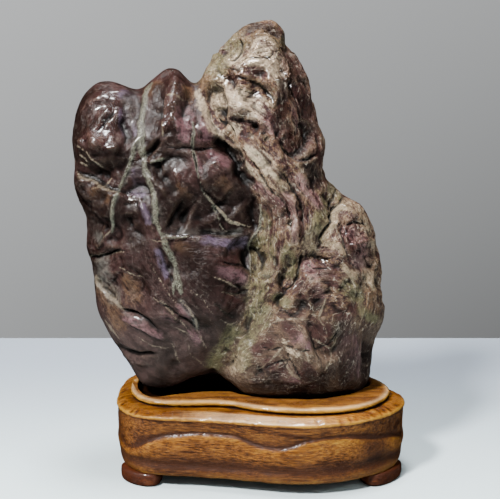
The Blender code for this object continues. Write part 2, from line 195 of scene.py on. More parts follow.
LOWER_RIGHT = [
    ("groove", 7, -1.9, [(297, 303), (312, 308), (328, 303)]),
    ("ridge", 12, 1.2, [(305, 292), (314, 297)]),
    ("crest", 4, 1.2, [(281, 317), (292, 319), (305, 317), (318, 323), (332, 328)]),
    ("groove", 2, -0.8, [(281, 310), (290, 316), (299, 319)]),
    ("ridge", 14, 1.3, [(296, 340), (308, 345)]),
    ("crest", 3, 1.0, [(282, 345), (288, 352), (298, 358)]),
    ("groove", 6, -1.3, [(283, 363), (300, 367)]),
    ("ridge", 9, 1.0, [(270, 367), (280, 371)]),
    ("groove", 5, -1.7, [(258, 381), (280, 384), (302, 389)]),
    ("crest", 3, 0.8, [(274, 358), (280, 350), (287, 343)]),
    ("crest", 1.6, 0.5, [(280, 355), (286, 365), (293, 375), (303, 381)]),
    ("crest", 1.6, 0.5, [(301, 341), (306, 352), (309, 363)]),
    ("crest", 1.6, 0.5, [(314, 338), (325, 344), (335, 350)]),
    ("groove", 8, -1.9, [(346, 328), (341, 350), (337, 374)]),
    ("ridge", 7, 1.3, [(357, 335), (356, 360), (352, 386)]),
    ("groove", 4, -1.2, [(366, 350), (363, 376)]),
    ("ridge", 8, 1.0, [(258, 349), (270, 343)]),
    ("ridge", 7, 1.0, [(285, 390), (292, 384)]),
    ("ridge", 7, 1.1, [(316, 372), (322, 362)]),
    ("groove", 5, -1.3, [(325, 384), (322, 372)]),
    ("ridge", 8, 0.8, [(328, 335), (326, 345)]),
    ("groove", 3, -0.8, [(246, 386), (256, 388), (266, 391)]),
    ("groove", 1.5, -0.9, [(258, 346), (272, 352), (284, 347)]),
    ("groove", 1.5, -0.9, [(285, 347), (291, 362), (301, 380)]),
    ("groove", 1.5, -0.9, [(286, 346), (302, 351), (317, 349)]),
    ("groove", 1.5, -0.9, [(298, 318), (311, 333), (318, 350), (322, 368)]),
    ("groove", 1.5, -0.9, [(262, 371), (278, 364), (290, 361)]),
    ("groove", 1.5, -0.9, [(318, 350), (332, 345), (341, 332)]),
]
FEATURES = LOBE + MIDDLE_PEAK + CREVICE + LEFT_FLANK + BAND + TALL_PEAK + NECK + SHOULDER + LOWER_RIGHT

# Pale veins and how wide they run: (half width in elevation units, route).
SAGE_VEINS = [
    (3.0, [(150, 84), (146, 96), (142, 108), (141, 122), (140, 136), (141, 150), (144, 162)]),
    (3.0, [(144, 162), (147, 172), (149, 182), (153, 194), (155, 206), (156, 222), (160, 232)]),
    (2.9, [(160, 232), (167, 244), (170, 254), (174, 266), (177, 278), (181, 293)]),
    (1.6, [(139, 134), (134, 146), (131, 160), (126, 172), (122, 183), (118, 196)]),
    (1.3, [(118, 196), (114, 210), (113, 224), (108, 234)]),
    (1.3, [(178, 276), (174, 286), (173, 296)]),
    (1.1, [(160, 232), (172, 238), (189, 237)]),
    (1.5, [(193, 119), (194, 135), (193, 150), (197, 165), (199, 178)]),
    (1.1, [(199, 178), (201, 186), (204, 194), (216, 208), (230, 219), (250, 229)]),
    (0.8, [(212, 207), (222, 222), (232, 231)]),
    (0.8, [(150, 163), (158, 160), (164, 156)]),
    (1.3, [(257, 206), (258, 225), (254, 240), (253, 255), (251, 276)]),
]
# Thin warm scratches and healed hair cracks, written the same way.
SCRATCHES = [
    (1.2, [(118, 191), (104, 187), (92, 180), (76, 172)]), (1.0, [(79, 147), (85, 146), (91, 151)]),
    (1.0, [(78, 154), (84, 155), (90, 162)]), (1.0, [(92, 151), (98, 160), (105, 170)]),
    (0.9, [(80, 162), (86, 165)]), (1.3, [(97, 276), (101, 289), (107, 298), (115, 303), (123, 311)]),
    (1.0, [(110, 178), (104, 186), (93, 190)]),
    (1.1, [(181, 301), (190, 310), (196, 321), (199, 334), (208, 350)]),
    (1.0, [(86, 258), (104, 256), (124, 252)]), (1.0, [(213, 277), (226, 283), (240, 287)]),
    (0.9, [(212, 300), (222, 310), (233, 319)]), (0.9, [(222, 293), (236, 294), (250, 291)]),
    (1.0, [(301, 341), (306, 352), (309, 363)]), (1.0, [(314, 338), (325, 344), (335, 350)]),
    (1.0, [(280, 355), (286, 365), (293, 375), (303, 381)]), (0.9, [(170, 345), (175, 356), (180, 366)]),
    (1.0, [(130, 190), (129, 200)]), (1.0, [(164, 120), (163, 136)]),
    (1.1, [(204, 194), (216, 208), (230, 219), (250, 229)]), (0.9, [(97, 232), (101, 238), (107, 230)]),
    (0.9, [(318, 205), (333, 221), (345, 246)]), (0.9, [(283, 345), (296, 352), (310, 349)]),
    (0.9, [(262, 330), (276, 322), (292, 318), (314, 320)]), (0.9, [(330, 300), (322, 318), (330, 338)]),
    (0.9, [(256, 372), (272, 362), (284, 346)]), (0.9, [(340, 338), (334, 356), (324, 372)]),
    (0.9, [(276, 236), (288, 228), (293, 218)]), (0.9, [(240, 158), (256, 172), (272, 196)]),
    (0.9, [(252, 112), (262, 118), (272, 130)]), (0.9, [(168, 96), (184, 97)]),
    (0.9, [(150, 240), (176, 243)]), (0.7, [(152, 296), (164, 306), (176, 319)]),
    (0.7, [(160, 299), (172, 312), (186, 331)]), (0.7, [(174, 329), (188, 337), (202, 343)]),
    (0.7, [(138, 338), (152, 346), (168, 349)]), (0.7, [(190, 290), (203, 299), (212, 313)]),
    (0.7, [(118, 268), (132, 275), (146, 279)]), (0.7, [(104, 318), (112, 330), (120, 340)]),
    (0.7, [(150, 262), (160, 280), (172, 300), (180, 306)]), (0.7, [(218, 318), (230, 326), (238, 322)]),
    (0.7, [(186, 344), (192, 358), (204, 366)]),
]

# Patches where one colour or the polish gathers: (reach in elevation units, route).
PATCHES = {
    "cream": [
        (9, [(233, 58), (238, 60)]), (14, [(228, 96), (244, 102), (256, 108)]),
        (9, [(222, 88), (216, 100)]), (5, [(198, 93), (204, 110), (211, 126), (219, 138)]),
        (6, [(231, 126), (234, 130)]), (9, [(256, 48), (268, 50)]), (9, [(262, 64), (274, 60)]),
        (8, [(272, 74), (282, 70)]), (5, [(278, 84), (283, 88)]), (8, [(250, 60), (280, 62)]),
        (9, [(256, 158), (268, 170)]), (6, [(248, 150), (262, 156)]), (5, [(246, 168), (252, 174)]),
        (2.4, [(284, 341), (288, 350), (298, 355)]),
    ],
    "tawny": [
        (9, [(252, 152), (272, 174), (288, 196)]), (7, [(348, 202), (336, 218), (326, 233)]),
        (5, [(352, 204), (366, 222), (373, 244)]), (7, [(346, 270), (356, 274)]),
        (8, [(240, 362), (236, 368)]), (8, [(366, 262), (374, 284)]), (6, [(292, 222), (294, 240)]),
        (8, [(312, 232), (308, 246), (318, 250)]), (8, [(330, 244), (346, 252)]),
    ],
    "tan": [
        (14, [(250, 32), (275, 34)]), (6, [(204, 88), (207, 80)]), (10, [(178, 192), (186, 198)]),
        (8, [(180, 247), (188, 252)]), (8, [(98, 193), (108, 197)]), (11, [(126, 284), (132, 298)]),
        (9, [(104, 292), (112, 308), (120, 326)]), (9, [(366, 262), (374, 282), (374, 306)]),
        (6, [(186, 88), (191, 96)]), (7, [(156, 84), (150, 92)]), (10, [(220, 186), (228, 190)]),
    ],
    "olive": [
        (8, [(340, 208), (328, 226), (322, 238)]),
        (12, [(206, 80), (216, 64), (228, 48), (244, 33), (280, 38)]),
        (9, [(262, 312), (250, 336), (240, 356)]), (6, [(262, 216), (266, 228)]),
        (13, [(264, 242), (264, 262), (260, 284), (252, 312)]), (9, [(286, 254), (293, 270)]),
        (9, [(234, 332), (223, 350), (214, 366)]), (10, [(326, 204), (318, 226)]),
        (7, [(336, 188), (340, 196)]), (10, [(348, 286), (360, 298)]), (8, [(246, 356), (240, 366)]),
        (7, [(276, 300), (284, 304)]), (6, [(362, 310), (374, 318)]), (7, [(252, 330), (262, 324)]),
        (6, [(338, 330), (336, 346)]),
    ],
    "maroon": [
        (5, [(253, 72), (259, 72)]), (7, [(249, 125), (262, 129)]),
        (14, [(292, 62), (302, 100), (312, 136), (318, 152)]), (13, [(272, 210), (280, 216)]),
        (4, [(303, 212), (302, 236)]), (13, [(306, 290), (314, 298)]), (9, [(322, 268), (332, 278)]),
        (10, [(270, 366), (280, 372)]), (8, [(256, 350), (268, 344)]), (7, [(306, 368), (316, 378)]),
        (6, [(280, 96), (284, 112)]), (9, [(280, 116), (291, 136), (300, 150)]),
        (5, [(282, 140), (296, 146)]), (8, [(344, 318), (352, 310)]), (8, [(318, 334), (332, 346)]),
        (6, [(286, 326), (292, 332)]), (5, [(346, 240), (352, 256)]), (6, [(222, 262), (240, 258)]),
        (9, [(312, 324), (330, 332)]), (6, [(300, 374), (312, 386)]),
        (2.0, [(246, 176), (258, 190), (270, 200)]), (1.8, [(268, 176), (280, 192), (287, 206)]),
        (2.0, [(286, 168), (296, 186), (303, 206)]), (1.8, [(312, 194), (322, 210)]),
        (1.8, [(346, 212), (338, 226), (331, 240)]), (1.8, [(357, 214), (350, 226), (340, 240)]),
        (1.8, [(330, 250), (342, 256), (350, 268)]), (1.8, [(318, 246), (332, 252), (342, 262)]),
        (1.8, [(256, 148), (268, 162), (284, 180)]), (8, [(230, 300), (238, 308)]),
    ],
    # Mauve: partly the stone's own mauve, partly painted highlight on glints and lit facets.
    "mauve": [
        (5, [(256, 186), (270, 200), (284, 206)]), (5, [(290, 206), (295, 222), (294, 240)]),
        (6, [(287, 196), (294, 212)]), (6, [(300, 178), (308, 192), (320, 206)]),
        (12, [(350, 234), (360, 246), (362, 262)]), (8, [(306, 262), (316, 272)]),
        (8, [(296, 338), (306, 344)]), (10, [(184, 112), (186, 134)]), (8, [(205, 120), (206, 136)]),
        (6, [(212, 154), (224, 164)]), (5, [(196, 160), (200, 168)]), (6, [(296, 108), (303, 128)]),
        (4, [(126, 319), (146, 329), (160, 336)]), (4, [(164, 316), (174, 320)]),
        (6, [(182, 308), (190, 316)]), (6, [(192, 336), (198, 340)]), (9, [(352, 340), (354, 372)]),
        (8, [(222, 272), (240, 278)]), (8, [(256, 118), (276, 130)]), (7, [(250, 150), (262, 160)]),
        (7, [(318, 288), (324, 296)]), (7, [(286, 386), (296, 380)]),
    ],
    "milky": [
        (4, [(138, 130), (134, 146), (130, 162), (124, 182)]), (3, [(118, 196), (113, 214), (108, 230)]),
        (5, [(88, 224), (97, 240)]), (7, [(100, 262), (104, 284), (112, 300)]),
        (4, [(181, 302), (192, 314), (198, 330)]), (5, [(158, 206), (164, 222), (180, 232), (240, 232)]),
    ],
    "lavender": [
        (7, [(123, 112), (126, 130)]), (4, [(133, 124), (135, 134)]),
        (6, [(206, 240), (228, 242), (248, 240)]), (4, [(158, 252), (163, 266), (167, 276)]),
        (6, [(136, 172), (138, 186)]), (4, [(143, 206), (148, 222)]), (5, [(130, 192), (142, 194)]),
        (5, [(122, 94), (132, 98)]),
    ],
    # Dark brown: partly the stone's own dark patches, partly painted shadow under overhangs, in hollows and
    # crevices and below the right mass.
    "deep": [
        (14, [(82, 156), (100, 164), (118, 158)]), (7, [(77, 120), (76, 142)]),
        (10, [(150, 146), (156, 151)]), (7, [(152, 166), (164, 168)]), (20, [(172, 205), (192, 216)]),
        (13, [(166, 192), (172, 226)]), (18, [(212, 200), (236, 206)]), (11, [(240, 186), (249, 214)]),
        (17, [(192, 258), (206, 284)]), (13, [(128, 214), (136, 240)]), (9, [(82, 200), (90, 226)]),
        (11, [(345, 330), (348, 380)]), (8, [(367, 350), (365, 384)]), (7, [(298, 306), (324, 306)]),
        (6, [(256, 384), (280, 386), (304, 390)]), (8, [(218, 144), (232, 156), (246, 184)]),
        (9, [(322, 382), (330, 374)]), (9, [(306, 156), (318, 180)]), (6, [(126, 98), (128, 140)]),
        (7, [(142, 166), (138, 178)]), (8, [(106, 192), (98, 200)]),
        (7, [(158, 88), (155, 106), (152, 126)]), (5, [(132, 93), (131, 108)]),
        (6, [(140, 108), (138, 124)]), (7, [(170, 160), (182, 158)]), (8, [(282, 84), (282, 98)]),
        (7, [(260, 372), (276, 378)]), (4, [(248, 30), (264, 27), (281, 36)]),
        (6, [(308, 374), (318, 382)]), (5, [(222, 106), (234, 113), (246, 112)]),
    ],
    "gloss": [
        (12, [(92, 100), (112, 106), (106, 128), (104, 146)]), (9, [(86, 114), (92, 138)]),
        (8, [(171, 78), (167, 125)]), (5, [(177, 174), (180, 188)]), (8, [(132, 160), (144, 158)]),
        (10, [(123, 110), (127, 134)]), (12, [(250, 60), (278, 56)]),
        (10, [(226, 74), (238, 78), (254, 84)]), (8, [(286, 70), (290, 100), (304, 130)]),
        (6, [(283, 104), (296, 128), (300, 148)]), (6, [(129, 194), (134, 206)]),
        (10, [(184, 124), (206, 136), (222, 158)]), (5, [(158, 240), (190, 237)]),
        (7, [(288, 206), (295, 235)]), (6, [(284, 346), (296, 354)]), (6, [(320, 256), (326, 260)]),
        (7, [(222, 84), (216, 98)]), (7, [(346, 234), (360, 250)]), (6, [(262, 84), (272, 104)]),
        (6, [(258, 62), (284, 84)]),
    ],
}


def front_elevation(points):
    """Where each point of the stone stands in the front elevation."""
    away = points - EYE
    ahead = np.array([0, math.cos(EYE_TILT), -math.sin(EYE_TILT)])
    up = np.array([0, math.sin(EYE_TILT), math.cos(EYE_TILT)])
    depth = away @ ahead
    u = ELEVATION_WIDTH / 2 + ELEVATION_FOCUS * away[:, 0] / depth
    v = ELEVATION_HEIGHT / 2 - ELEVATION_FOCUS * (away @ up) / depth
    return np.stack([u, v], 1)


def smooth_between(low, high, values):
    """0 up to low and 1 from high, with a soft turn at both."""
    t = np.clip((values - low) / (high - low), 0, 1)
    return t * t * (3 - 2 * t)


def bell(off, spread):
    """1 where off is 0, falling softly towards 0 past the spread."""
    return np.exp(-((off / spread) ** 2))


def grain(points, size, octaves, shift):
    """Fractal noise about -1 to 1 whose coarsest lumps are size apart."""
    offset = Vector((shift, shift * 1.7, -shift))
    return np.array([noise.fractal(Vector(p) / size + offset, 1.0, 2.0, octaves) for p in points])


CELL_MIX = (73856093, 19349663, 83492791)
MOST_RANDOM = 0x7FFFFFFF


def scrambled(cells, seed, extra=0):
    """A steady random whole number up to MOST_RANDOM for each cell of a grid."""
    key = (cells * CELL_MIX).sum(1) + seed * 2654435 + extra
    key = (key ^ (key >> 13)) * 1274126177 & MOST_RANDOM
    return (key ^ (key >> 15)) * 40503 & MOST_RANDOM


def lumps(points, size, seed):
    """Smooth random lumps about -1 to 1 whose spacing is size, in the points' own units."""
    place = points / size + seed * 7.31
    cell = np.floor(place).astype(np.int64)
    part = place - cell
    part = part * part * (3 - 2 * part)
    total = np.zeros(len(points))
    for corner in ((x, y, z) for z in (0, 1) for y in (0, 1) for x in (0, 1)):
        weight = np.prod(np.where(corner, part, 1 - part), axis=1)
        total += weight * (scrambled(cell + corner, seed) / (MOST_RANDOM // 2) - 1)
    return total


def flat_lumps(at, size, seed):
    """The same lumps over a flat drawing."""
    return lumps(np.column_stack([at, np.zeros(len(at))]), size, seed)


def plates(points, size, seed):
    """How far each point is from the heart of its plate, 0 to about 1. Plates meet along sharp lines."""
    place = points / size + seed * 3.17
    cell = np.floor(place).astype(np.int64)
    nearest = np.full(len(points), 9.0)
    for step in np.ndindex(3, 3, 3):
        home = cell + np.array(step) - 1
        heart = home.astype(float)
        for k in range(3):
            heart[:, k] += scrambled(home, seed, k * 9176) / MOST_RANDOM
        nearest = np.minimum(nearest, np.linalg.norm(place - heart, axis=1))
    return nearest


def nearest_on_route(at, route):
    """Distance from each point to a route, side (+ to the left of travel) and share of the route gone."""
    stops = np.array(route, float)
    lengths = np.linalg.norm(np.diff(stops, axis=0), axis=1)
    gone = np.concatenate([[0], np.cumsum(lengths)]) / lengths.sum()
    near = np.full(len(at), 1e9)
    side = np.zeros(len(at))
    share = np.zeros(len(at))
    for k in range(len(lengths)):
        run = stops[k + 1] - stops[k]
        off = at - stops[k]
        t = np.clip((off @ run) / (run @ run), 0, 1)
        gap = np.linalg.norm(off - t[:, None] * run, axis=1)
        closer = gap < near
        near[closer] = gap[closer]
        side[closer] = (off[:, 0] * run[1] - off[:, 1] * run[0])[closer]
        share[closer] = (gone[k] + t * (gone[k + 1] - gone[k]))[closer]
    return near, np.sign(side), share


WANDER_SIZE = 7.0
REACH_WANDER = 0.35
RISE_WANDER = 0.45
RUN_OUT = 0.25             # the share of a route over which its feature fades in, and out again
LEFT_AT_ENDS = 0.2
CREST_SHARPNESS = 1.4
LEDGE_TURN = 0.8
EAVE_LIP = 0.35


def worked_rise(at):
    """Height in mm that the worked features add at each point of the elevation.

    A crest is sharp, and a ridge or a groove is round. A ledge stands proud on the left of its route's
    travel, and an eave is a sharp edge that falls away slowly on the right of it.
    """
    total = np.zeros(len(at))
    unsteady = flat_lumps(at, WANDER_SIZE, 9)
    for profile, reach, rise, route in FEATURES:
        near, side, share = nearest_on_route(at, route)
        near = near * (1 + REACH_WANDER * unsteady)
        ends = smooth_between(0, RUN_OUT, share) * smooth_between(0, RUN_OUT, 1 - share)
        ends = ends * (1 - LEFT_AT_ENDS) + LEFT_AT_ENDS
        if profile == "crest":
            shape = np.clip(1 - near / reach, 0, 1) ** CREST_SHARPNESS
        elif profile == "ledge":
            shape = bell(near, reach) * smooth_between(-LEDGE_TURN, LEDGE_TURN, near * side)
        elif profile == "eave":
            shape = np.where(side > 0, bell(near, EAVE_LIP * reach), smooth_between(0, reach, reach - near))
        else:
            shape = bell(near, reach)
        total += rise * ends * shape * (1 + RISE_WANDER * unsteady)
    return total


GRAIN_CELL = 4
TURN_SOFTNESS = 30
STREAK_STEPS = 7
STREAK_SPREAD = 0.5


def grain_turns():
    """The way the stone's grain runs at each cell of the elevation, drawn from the worked routes near it."""
    v, u = np.mgrid[0:ELEVATION_HEIGHT:GRAIN_CELL, 0:ELEVATION_WIDTH:GRAIN_CELL]
    cells = np.stack([u.ravel(), v.ravel()], 1).astype(float)
    pull = np.zeros((2, len(cells)))
    for _, _, _, route in FEATURES:
        if len(route) < 3:
            continue
        for a, b in zip(route[:-1], route[1:]):
            near = nearest_on_route(cells, [a, b])[0]
            turn = 2 * math.atan2(b[1] - a[1], b[0] - a[0])
            weight = math.dist(a, b) / (near ** 2 + TURN_SOFTNESS) ** 1.5
            pull += weight * np.array([[math.cos(turn)], [math.sin(turn)]])
    return (np.arctan2(pull[1], pull[0]) / 2).reshape(u.shape)


def turn_at(at, turns):
    """The grain's turn at each point of the elevation, from the cell it lies in."""
    cell = np.clip((at / GRAIN_CELL).astype(int), 0, np.array(turns.shape[::-1]) - 1)
    return turns[cell[:, 1], cell[:, 0]]


def streaked(at, depth, turns, size, length, seed):
    """Random lumps drawn out along the grain to the given length, about -1 to 1."""
    total = np.zeros(len(at))
    for way in (1, -1):
        here = at.copy()
        before = None
        for _ in range(STREAK_STEPS):
            total += lumps(np.column_stack([here, depth]), size, seed)
            turn = turn_at(here, turns)
            ahead = np.stack([np.cos(turn), np.sin(turn)], 1)
            if before is None:
                ahead *= way
            else:
                ahead *= np.where((ahead * before).sum(1) < 0, -1, 1)[:, None]
            before = ahead
            here = here + ahead * (length / 2 / STREAK_STEPS)
    return total / total.std() * STREAK_SPREAD


def patch_field(at, patches):
    """1 in the heart of a patch, fading to 0 away from it."""
    field = np.zeros(len(at))
    for reach, route in patches:
        field = np.maximum(field, bell(nearest_on_route(at, route)[0], reach))
    return field


VEIN_WANDER_SIZE = 8.0
VEIN_WANDER = 0.45
VEIN_TIP = 0.45
FAR_FROM_VEIN = -2.0


def vein_field(at, veins):
    """1 along the middle of a vein, 0 at its edge and below 0 away from it."""
    field = np.full(len(at), FAR_FROM_VEIN)
    unsteady = flat_lumps(at, VEIN_WANDER_SIZE, 17)
    for half_width, route in veins:
        near, _, share = nearest_on_route(at, route)
        near = near * (1 + VEIN_WANDER * unsteady)
        from_tip = np.minimum(1, 4 * np.minimum(share, 1 - share) + 0.2)
        field = np.maximum(field, 1 - near / (half_width * (VEIN_TIP + (1 - VEIN_TIP) * from_tip)))
    return field


def mesh_points(mesh):
    found = np.empty(len(mesh.vertices) * 3)
    mesh.vertices.foreach_get("co", found)
    return found.reshape(-1, 3)


def mesh_normals(mesh):
    found = np.empty(len(mesh.vertices) * 3, np.float32)
    mesh.vertex_normals.foreach_get("vector", found)
    return found.reshape(-1, 3).astype(float)


def put_points(mesh, points):
    mesh.vertices.foreach_set("co", points.ravel())
    mesh.update()


EASE = 0.6


def evened(mesh, points, times):
    """The points after each has moved towards the middle of its neighbours, times over."""
    edges = np.empty(len(mesh.edges) * 2, int)
    mesh.edges.foreach_get("vertices", edges)
    a, b = edges.reshape(-1, 2).T
    count = np.bincount(edges, minlength=len(points))[:, None]
    for _ in range(times):
        total = np.zeros_like(points)
        for k in range(points.shape[1]):
            total[:, k] = np.bincount(a, points[b, k], len(points))
            total[:, k] += np.bincount(b, points[a, k], len(points))
        points = points + EASE * (total / count - points)
    return points


def proud(mesh, points, facing, times):
    """How far in mm each point stands out of its own surroundings: more times, wider surroundings."""
    return ((points - evened(mesh, points, times)) * facing).sum(1) / MM


def keep_fields(mesh, fields):
    """Each field stays on the mesh under its name, where a finish can read it."""
    for name, values in fields.items():
        mesh.attributes.new(name, "FLOAT", "POINT").data.foreach_set("value", values.astype(np.float32))


def chipped(points, normals, seed, count, reach, depth, tilt, where):
    """Flat facets struck off the surface round count random points."""
    rng = np.random.default_rng(seed)
    chosen = rng.integers(0, len(points), count)
    twists = rng.normal(0, tilt, (count, 3))
    bites = rng.uniform(0.5, 1, count)
    for k, twist, bite in zip(chosen, twists, bites):
        if not where[k]:
            continue
        face = normals[k] + twist
        face /= np.linalg.norm(face)
        gap = np.linalg.norm(points - points[k], axis=1)
        within = gap < reach
        high = (points[within] - points[k]) @ face + depth * bite
        high = np.clip(high, 0, None) * (1 - smooth_between(0.6 * reach, reach, gap[within]))
        points[within] -= face * high[:, None]
    return points


def evenly_skinned(node, size, name):
    """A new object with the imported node's shape in an even skin of small faces."""
    made = bpy.data.objects.new(name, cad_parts[node].data.copy())
    bpy.context.scene.collection.objects.link(made)
    made.matrix_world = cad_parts[node].matrix_world
    merge = bmesh.new()
    merge.from_mesh(made.data)
    bmesh.ops.remove_doubles(merge, verts=merge.verts, dist=1e-6)
    merge.to_mesh(made.data)
    merge.free()
    skin = made.modifiers.new("skin", "REMESH")
    skin.mode = "VOXEL"
    skin.voxel_size = size
    graph = bpy.context.evaluated_depsgraph_get()
    made.data = bpy.data.meshes.new_from_object(made.evaluated_get(graph))
    made.modifiers.clear()
    return made


SKIN = 1.04 * MM
SKIN_EVENINGS = 10
stone = evenly_skinned("stone", SKIN, "stone_body")
skin = stone.data
points = evened(skin, mesh_points(skin), SKIN_EVENINGS)
put_points(skin, points)
facing = mesh_normals(skin)

# Behind the rim the same bands and cracks run on through the stone, sheared and bent by its grain.
BEHIND_FROM, BEHIND_TO = -2 * MM, 30 * MM
BEHIND_SHEAR = np.array([18, -26])
BEHIND_BEND, BEND_SIZE = 34, 50 * MM
WAVER_SIZE = 12 * MM
WORKED_WAVER = 1.5
RIM_WAVER = 7
UNIT_DEPTH = 0.55 * MM     # one elevation unit at the stone
RIM_FROM, RIM_TO = 0.1, 0.6
ROUGH_FROM, ROUGH_TO = -4, 8
DUSTY_FROM, DUSTY_TO = 285, 345
at = front_elevation(points)
behind = smooth_between(BEHIND_FROM, BEHIND_TO, points[:, 1])
bend = np.stack([grain(points, BEND_SIZE, 2, 3.0), grain(points, BEND_SIZE, 2, 8.0)], 1) * BEHIND_BEND
at += behind[:, None] * (BEHIND_SHEAR + bend)
waver = np.stack([grain(points, WAVER_SIZE, 3, 1.0), grain(points, WAVER_SIZE, 3, 5.0)], 1)
on_rim = 1 - smooth_between(RIM_FROM, RIM_TO, np.abs(facing[:, 1]))
at += waver * WORKED_WAVER
worked_at = at.copy()
at += waver * RIM_WAVER * on_rim[:, None]
depth = points[:, 1] / UNIT_DEPTH
parting = np.array(PARTING, float)
right_of_parting = at[:, 0] - np.interp(at[:, 1], parting[:, 1], parting[:, 0])
rough = smooth_between(ROUGH_FROM, ROUGH_TO, right_of_parting)
smooth = 1 - rough
dusty = smooth_between(DUSTY_FROM, DUSTY_TO, at[:, 1])

turns = grain_turns()
folds = streaked(at, depth, turns, size=9.0, length=34, seed=1)
creases = streaked(at, depth, turns, size=4.0, length=22, seed=2)
threads = streaked(at, depth, turns, size=2.4, length=16, seed=3)

# Chips: (seed, how many, reach in mm, bite in mm, tilt, where). First broad ones on both faces, then small
# ones on the rough mass, flatter ones on its dusty foot, and soft ones on the smooth block.
for seed, count, reach, bite, tilt, where in (
    (11, 80, 17, 1.6, 0.12, on_rim < 0.4),
    (12, 420, 9, 1.3, 0.20, (rough > 0.5) & (dusty < 0.4)),
    (14, 260, 14, 0.8, 0.13, (rough > 0.5) & (dusty >= 0.4)),
    (13, 160, 10, 0.6, 0.10, (rough < 0.5) & (on_rim < 0.5)),
):
    points = chipped(points, facing, seed, count, reach * MM, bite * MM, tilt, where)

# What weathering cuts away and leaves standing, in mm. It works less on the rim and at the back.
PLATE_SIZE, SMALL_PLATE_SIZE, SMOOTH_PLATE_SIZE = 9 * MM, 4.4 * MM, 15 * MM
PLATE_CUT, SMALL_PLATE_CUT, SMOOTH_PLATE_CUT = 1.7, 0.6, 0.9
PLATE_BEND, PLATE_BEND_SIZE = 2.2, 9.0
FOLD_CUT, CREASE_CUT, THREAD_CUT = 0.45, 0.35, 0.25
SMOOTH_FOLD_CUT, SMOOTH_CREASE_CUT = 0.22, 0.14
ROUGH_SWELL, SMOOTH_SWELL, RIM_SWELL = 0.35, 0.3, 0.4
ROUGH_SWELL_SIZE, SMOOTH_SWELL_SIZE, RIM_SWELL_SIZE = 7 * MM, 16 * MM, 22 * MM
VEIN_STANDS = 0.35
PEBBLE_SIZE = 2.8
LIFT, ROUGH_LIFT = 0.6, 0.9    # makes up for what the plates take away
RIM_SPARED, BACK_SPARED, DUSTY_SPARED = 0.8, 0.3, 0.75
plate_shift = np.stack([lumps(points / MM, PLATE_BEND_SIZE, 40 + k) for k in range(3)], 1)
bent = points + plate_shift * PLATE_BEND * MM
veins = vein_field(at, SAGE_VEINS)
crumbled = rough * (1 - DUSTY_SPARED * dusty)
big_plates = plates(bent, PLATE_SIZE, 1)
small_plates = plates(bent, SMALL_PLATE_SIZE, 2)
smooth_plates = plates(bent, SMOOTH_PLATE_SIZE, 3)
rise = worked_rise(worked_at) * (1.25 - 0.45 * rough)
rise += LIFT + crumbled * ROUGH_LIFT - crumbled * (big_plates * PLATE_CUT + small_plates * SMALL_PLATE_CUT)
rise -= smooth * smooth_plates * SMOOTH_PLATE_CUT
rise -= crumbled * (np.abs(folds) * FOLD_CUT + np.abs(creases) * CREASE_CUT + np.abs(threads) * THREAD_CUT)
rise -= smooth * (np.abs(folds) * SMOOTH_FOLD_CUT + np.abs(creases) * SMOOTH_CREASE_CUT)
rise += smooth_between(-0.3, 0.5, veins) * VEIN_STANDS
rise *= (1 - RIM_SPARED * on_rim) * (1 - BACK_SPARED * behind)
rise += crumbled * grain(points, ROUGH_SWELL_SIZE, 3, 2.0) * ROUGH_SWELL
rise += smooth * grain(points, SMOOTH_SWELL_SIZE, 3, 4.0) * SMOOTH_SWELL
rise += (rough * 0.14 + 0.08) * lumps(points / MM, PEBBLE_SIZE, 14)
rise += on_rim * grain(points, RIM_SWELL_SIZE, 3, 6.0) * RIM_SWELL
points += facing * rise[:, None] * MM

SUMMIT_ACROSS, SUMMIT_REACH, SUMMIT_RISE = 12 * MM, 9 * MM, 2.4 * MM
SUMMIT_FOOT, SUMMIT_TOP = 222 * MM, 247 * MM
summit = bell(points[:, 0] - SUMMIT_ACROSS, SUMMIT_REACH)
points[:, 2] += summit * smooth_between(SUMMIT_FOOT, SUMMIT_TOP, points[:, 2]) * SUMMIT_RISE
put_points(skin, points)

# What the finish reads: worn crests and sheltered hollows, the way of the grain, and every vein and patch.
FINE_EVENINGS, BROAD_EVENINGS, GRAIN_EVENINGS = 5, 60, 8
CRACK_REACH = 2.6
CRACK_WIDTH = 0.55
facing = mesh_normals(skin)
turn = turn_at(at, turns) * 2
grain_way = evened(skin, np.stack([np.cos(turn), np.sin(turn)], 1), GRAIN_EVENINGS)
cracks = [
    (reach * CRACK_WIDTH, route) for profile, reach, _, route in FEATURES
    if profile == "groove" and reach <= CRACK_REACH
]
keep_fields(skin, {
    "grain_level": grain_way[:, 0],
    "grain_falling": grain_way[:, 1],
    "dusty": dusty,
    "rough": rough,
    "folds": folds,
    "creases": creases,
    "fine_proud": proud(skin, points, facing, FINE_EVENINGS),
    "broad_proud": proud(skin, points, facing, BROAD_EVENINGS),
    "vein": veins,
    "scratch": vein_field(at, SCRATCHES),
    "crack": vein_field(worked_at, cracks),
    **{name: patch_field(at, patches) for name, patches in PATCHES.items()},
})
skin.shade_smooth()


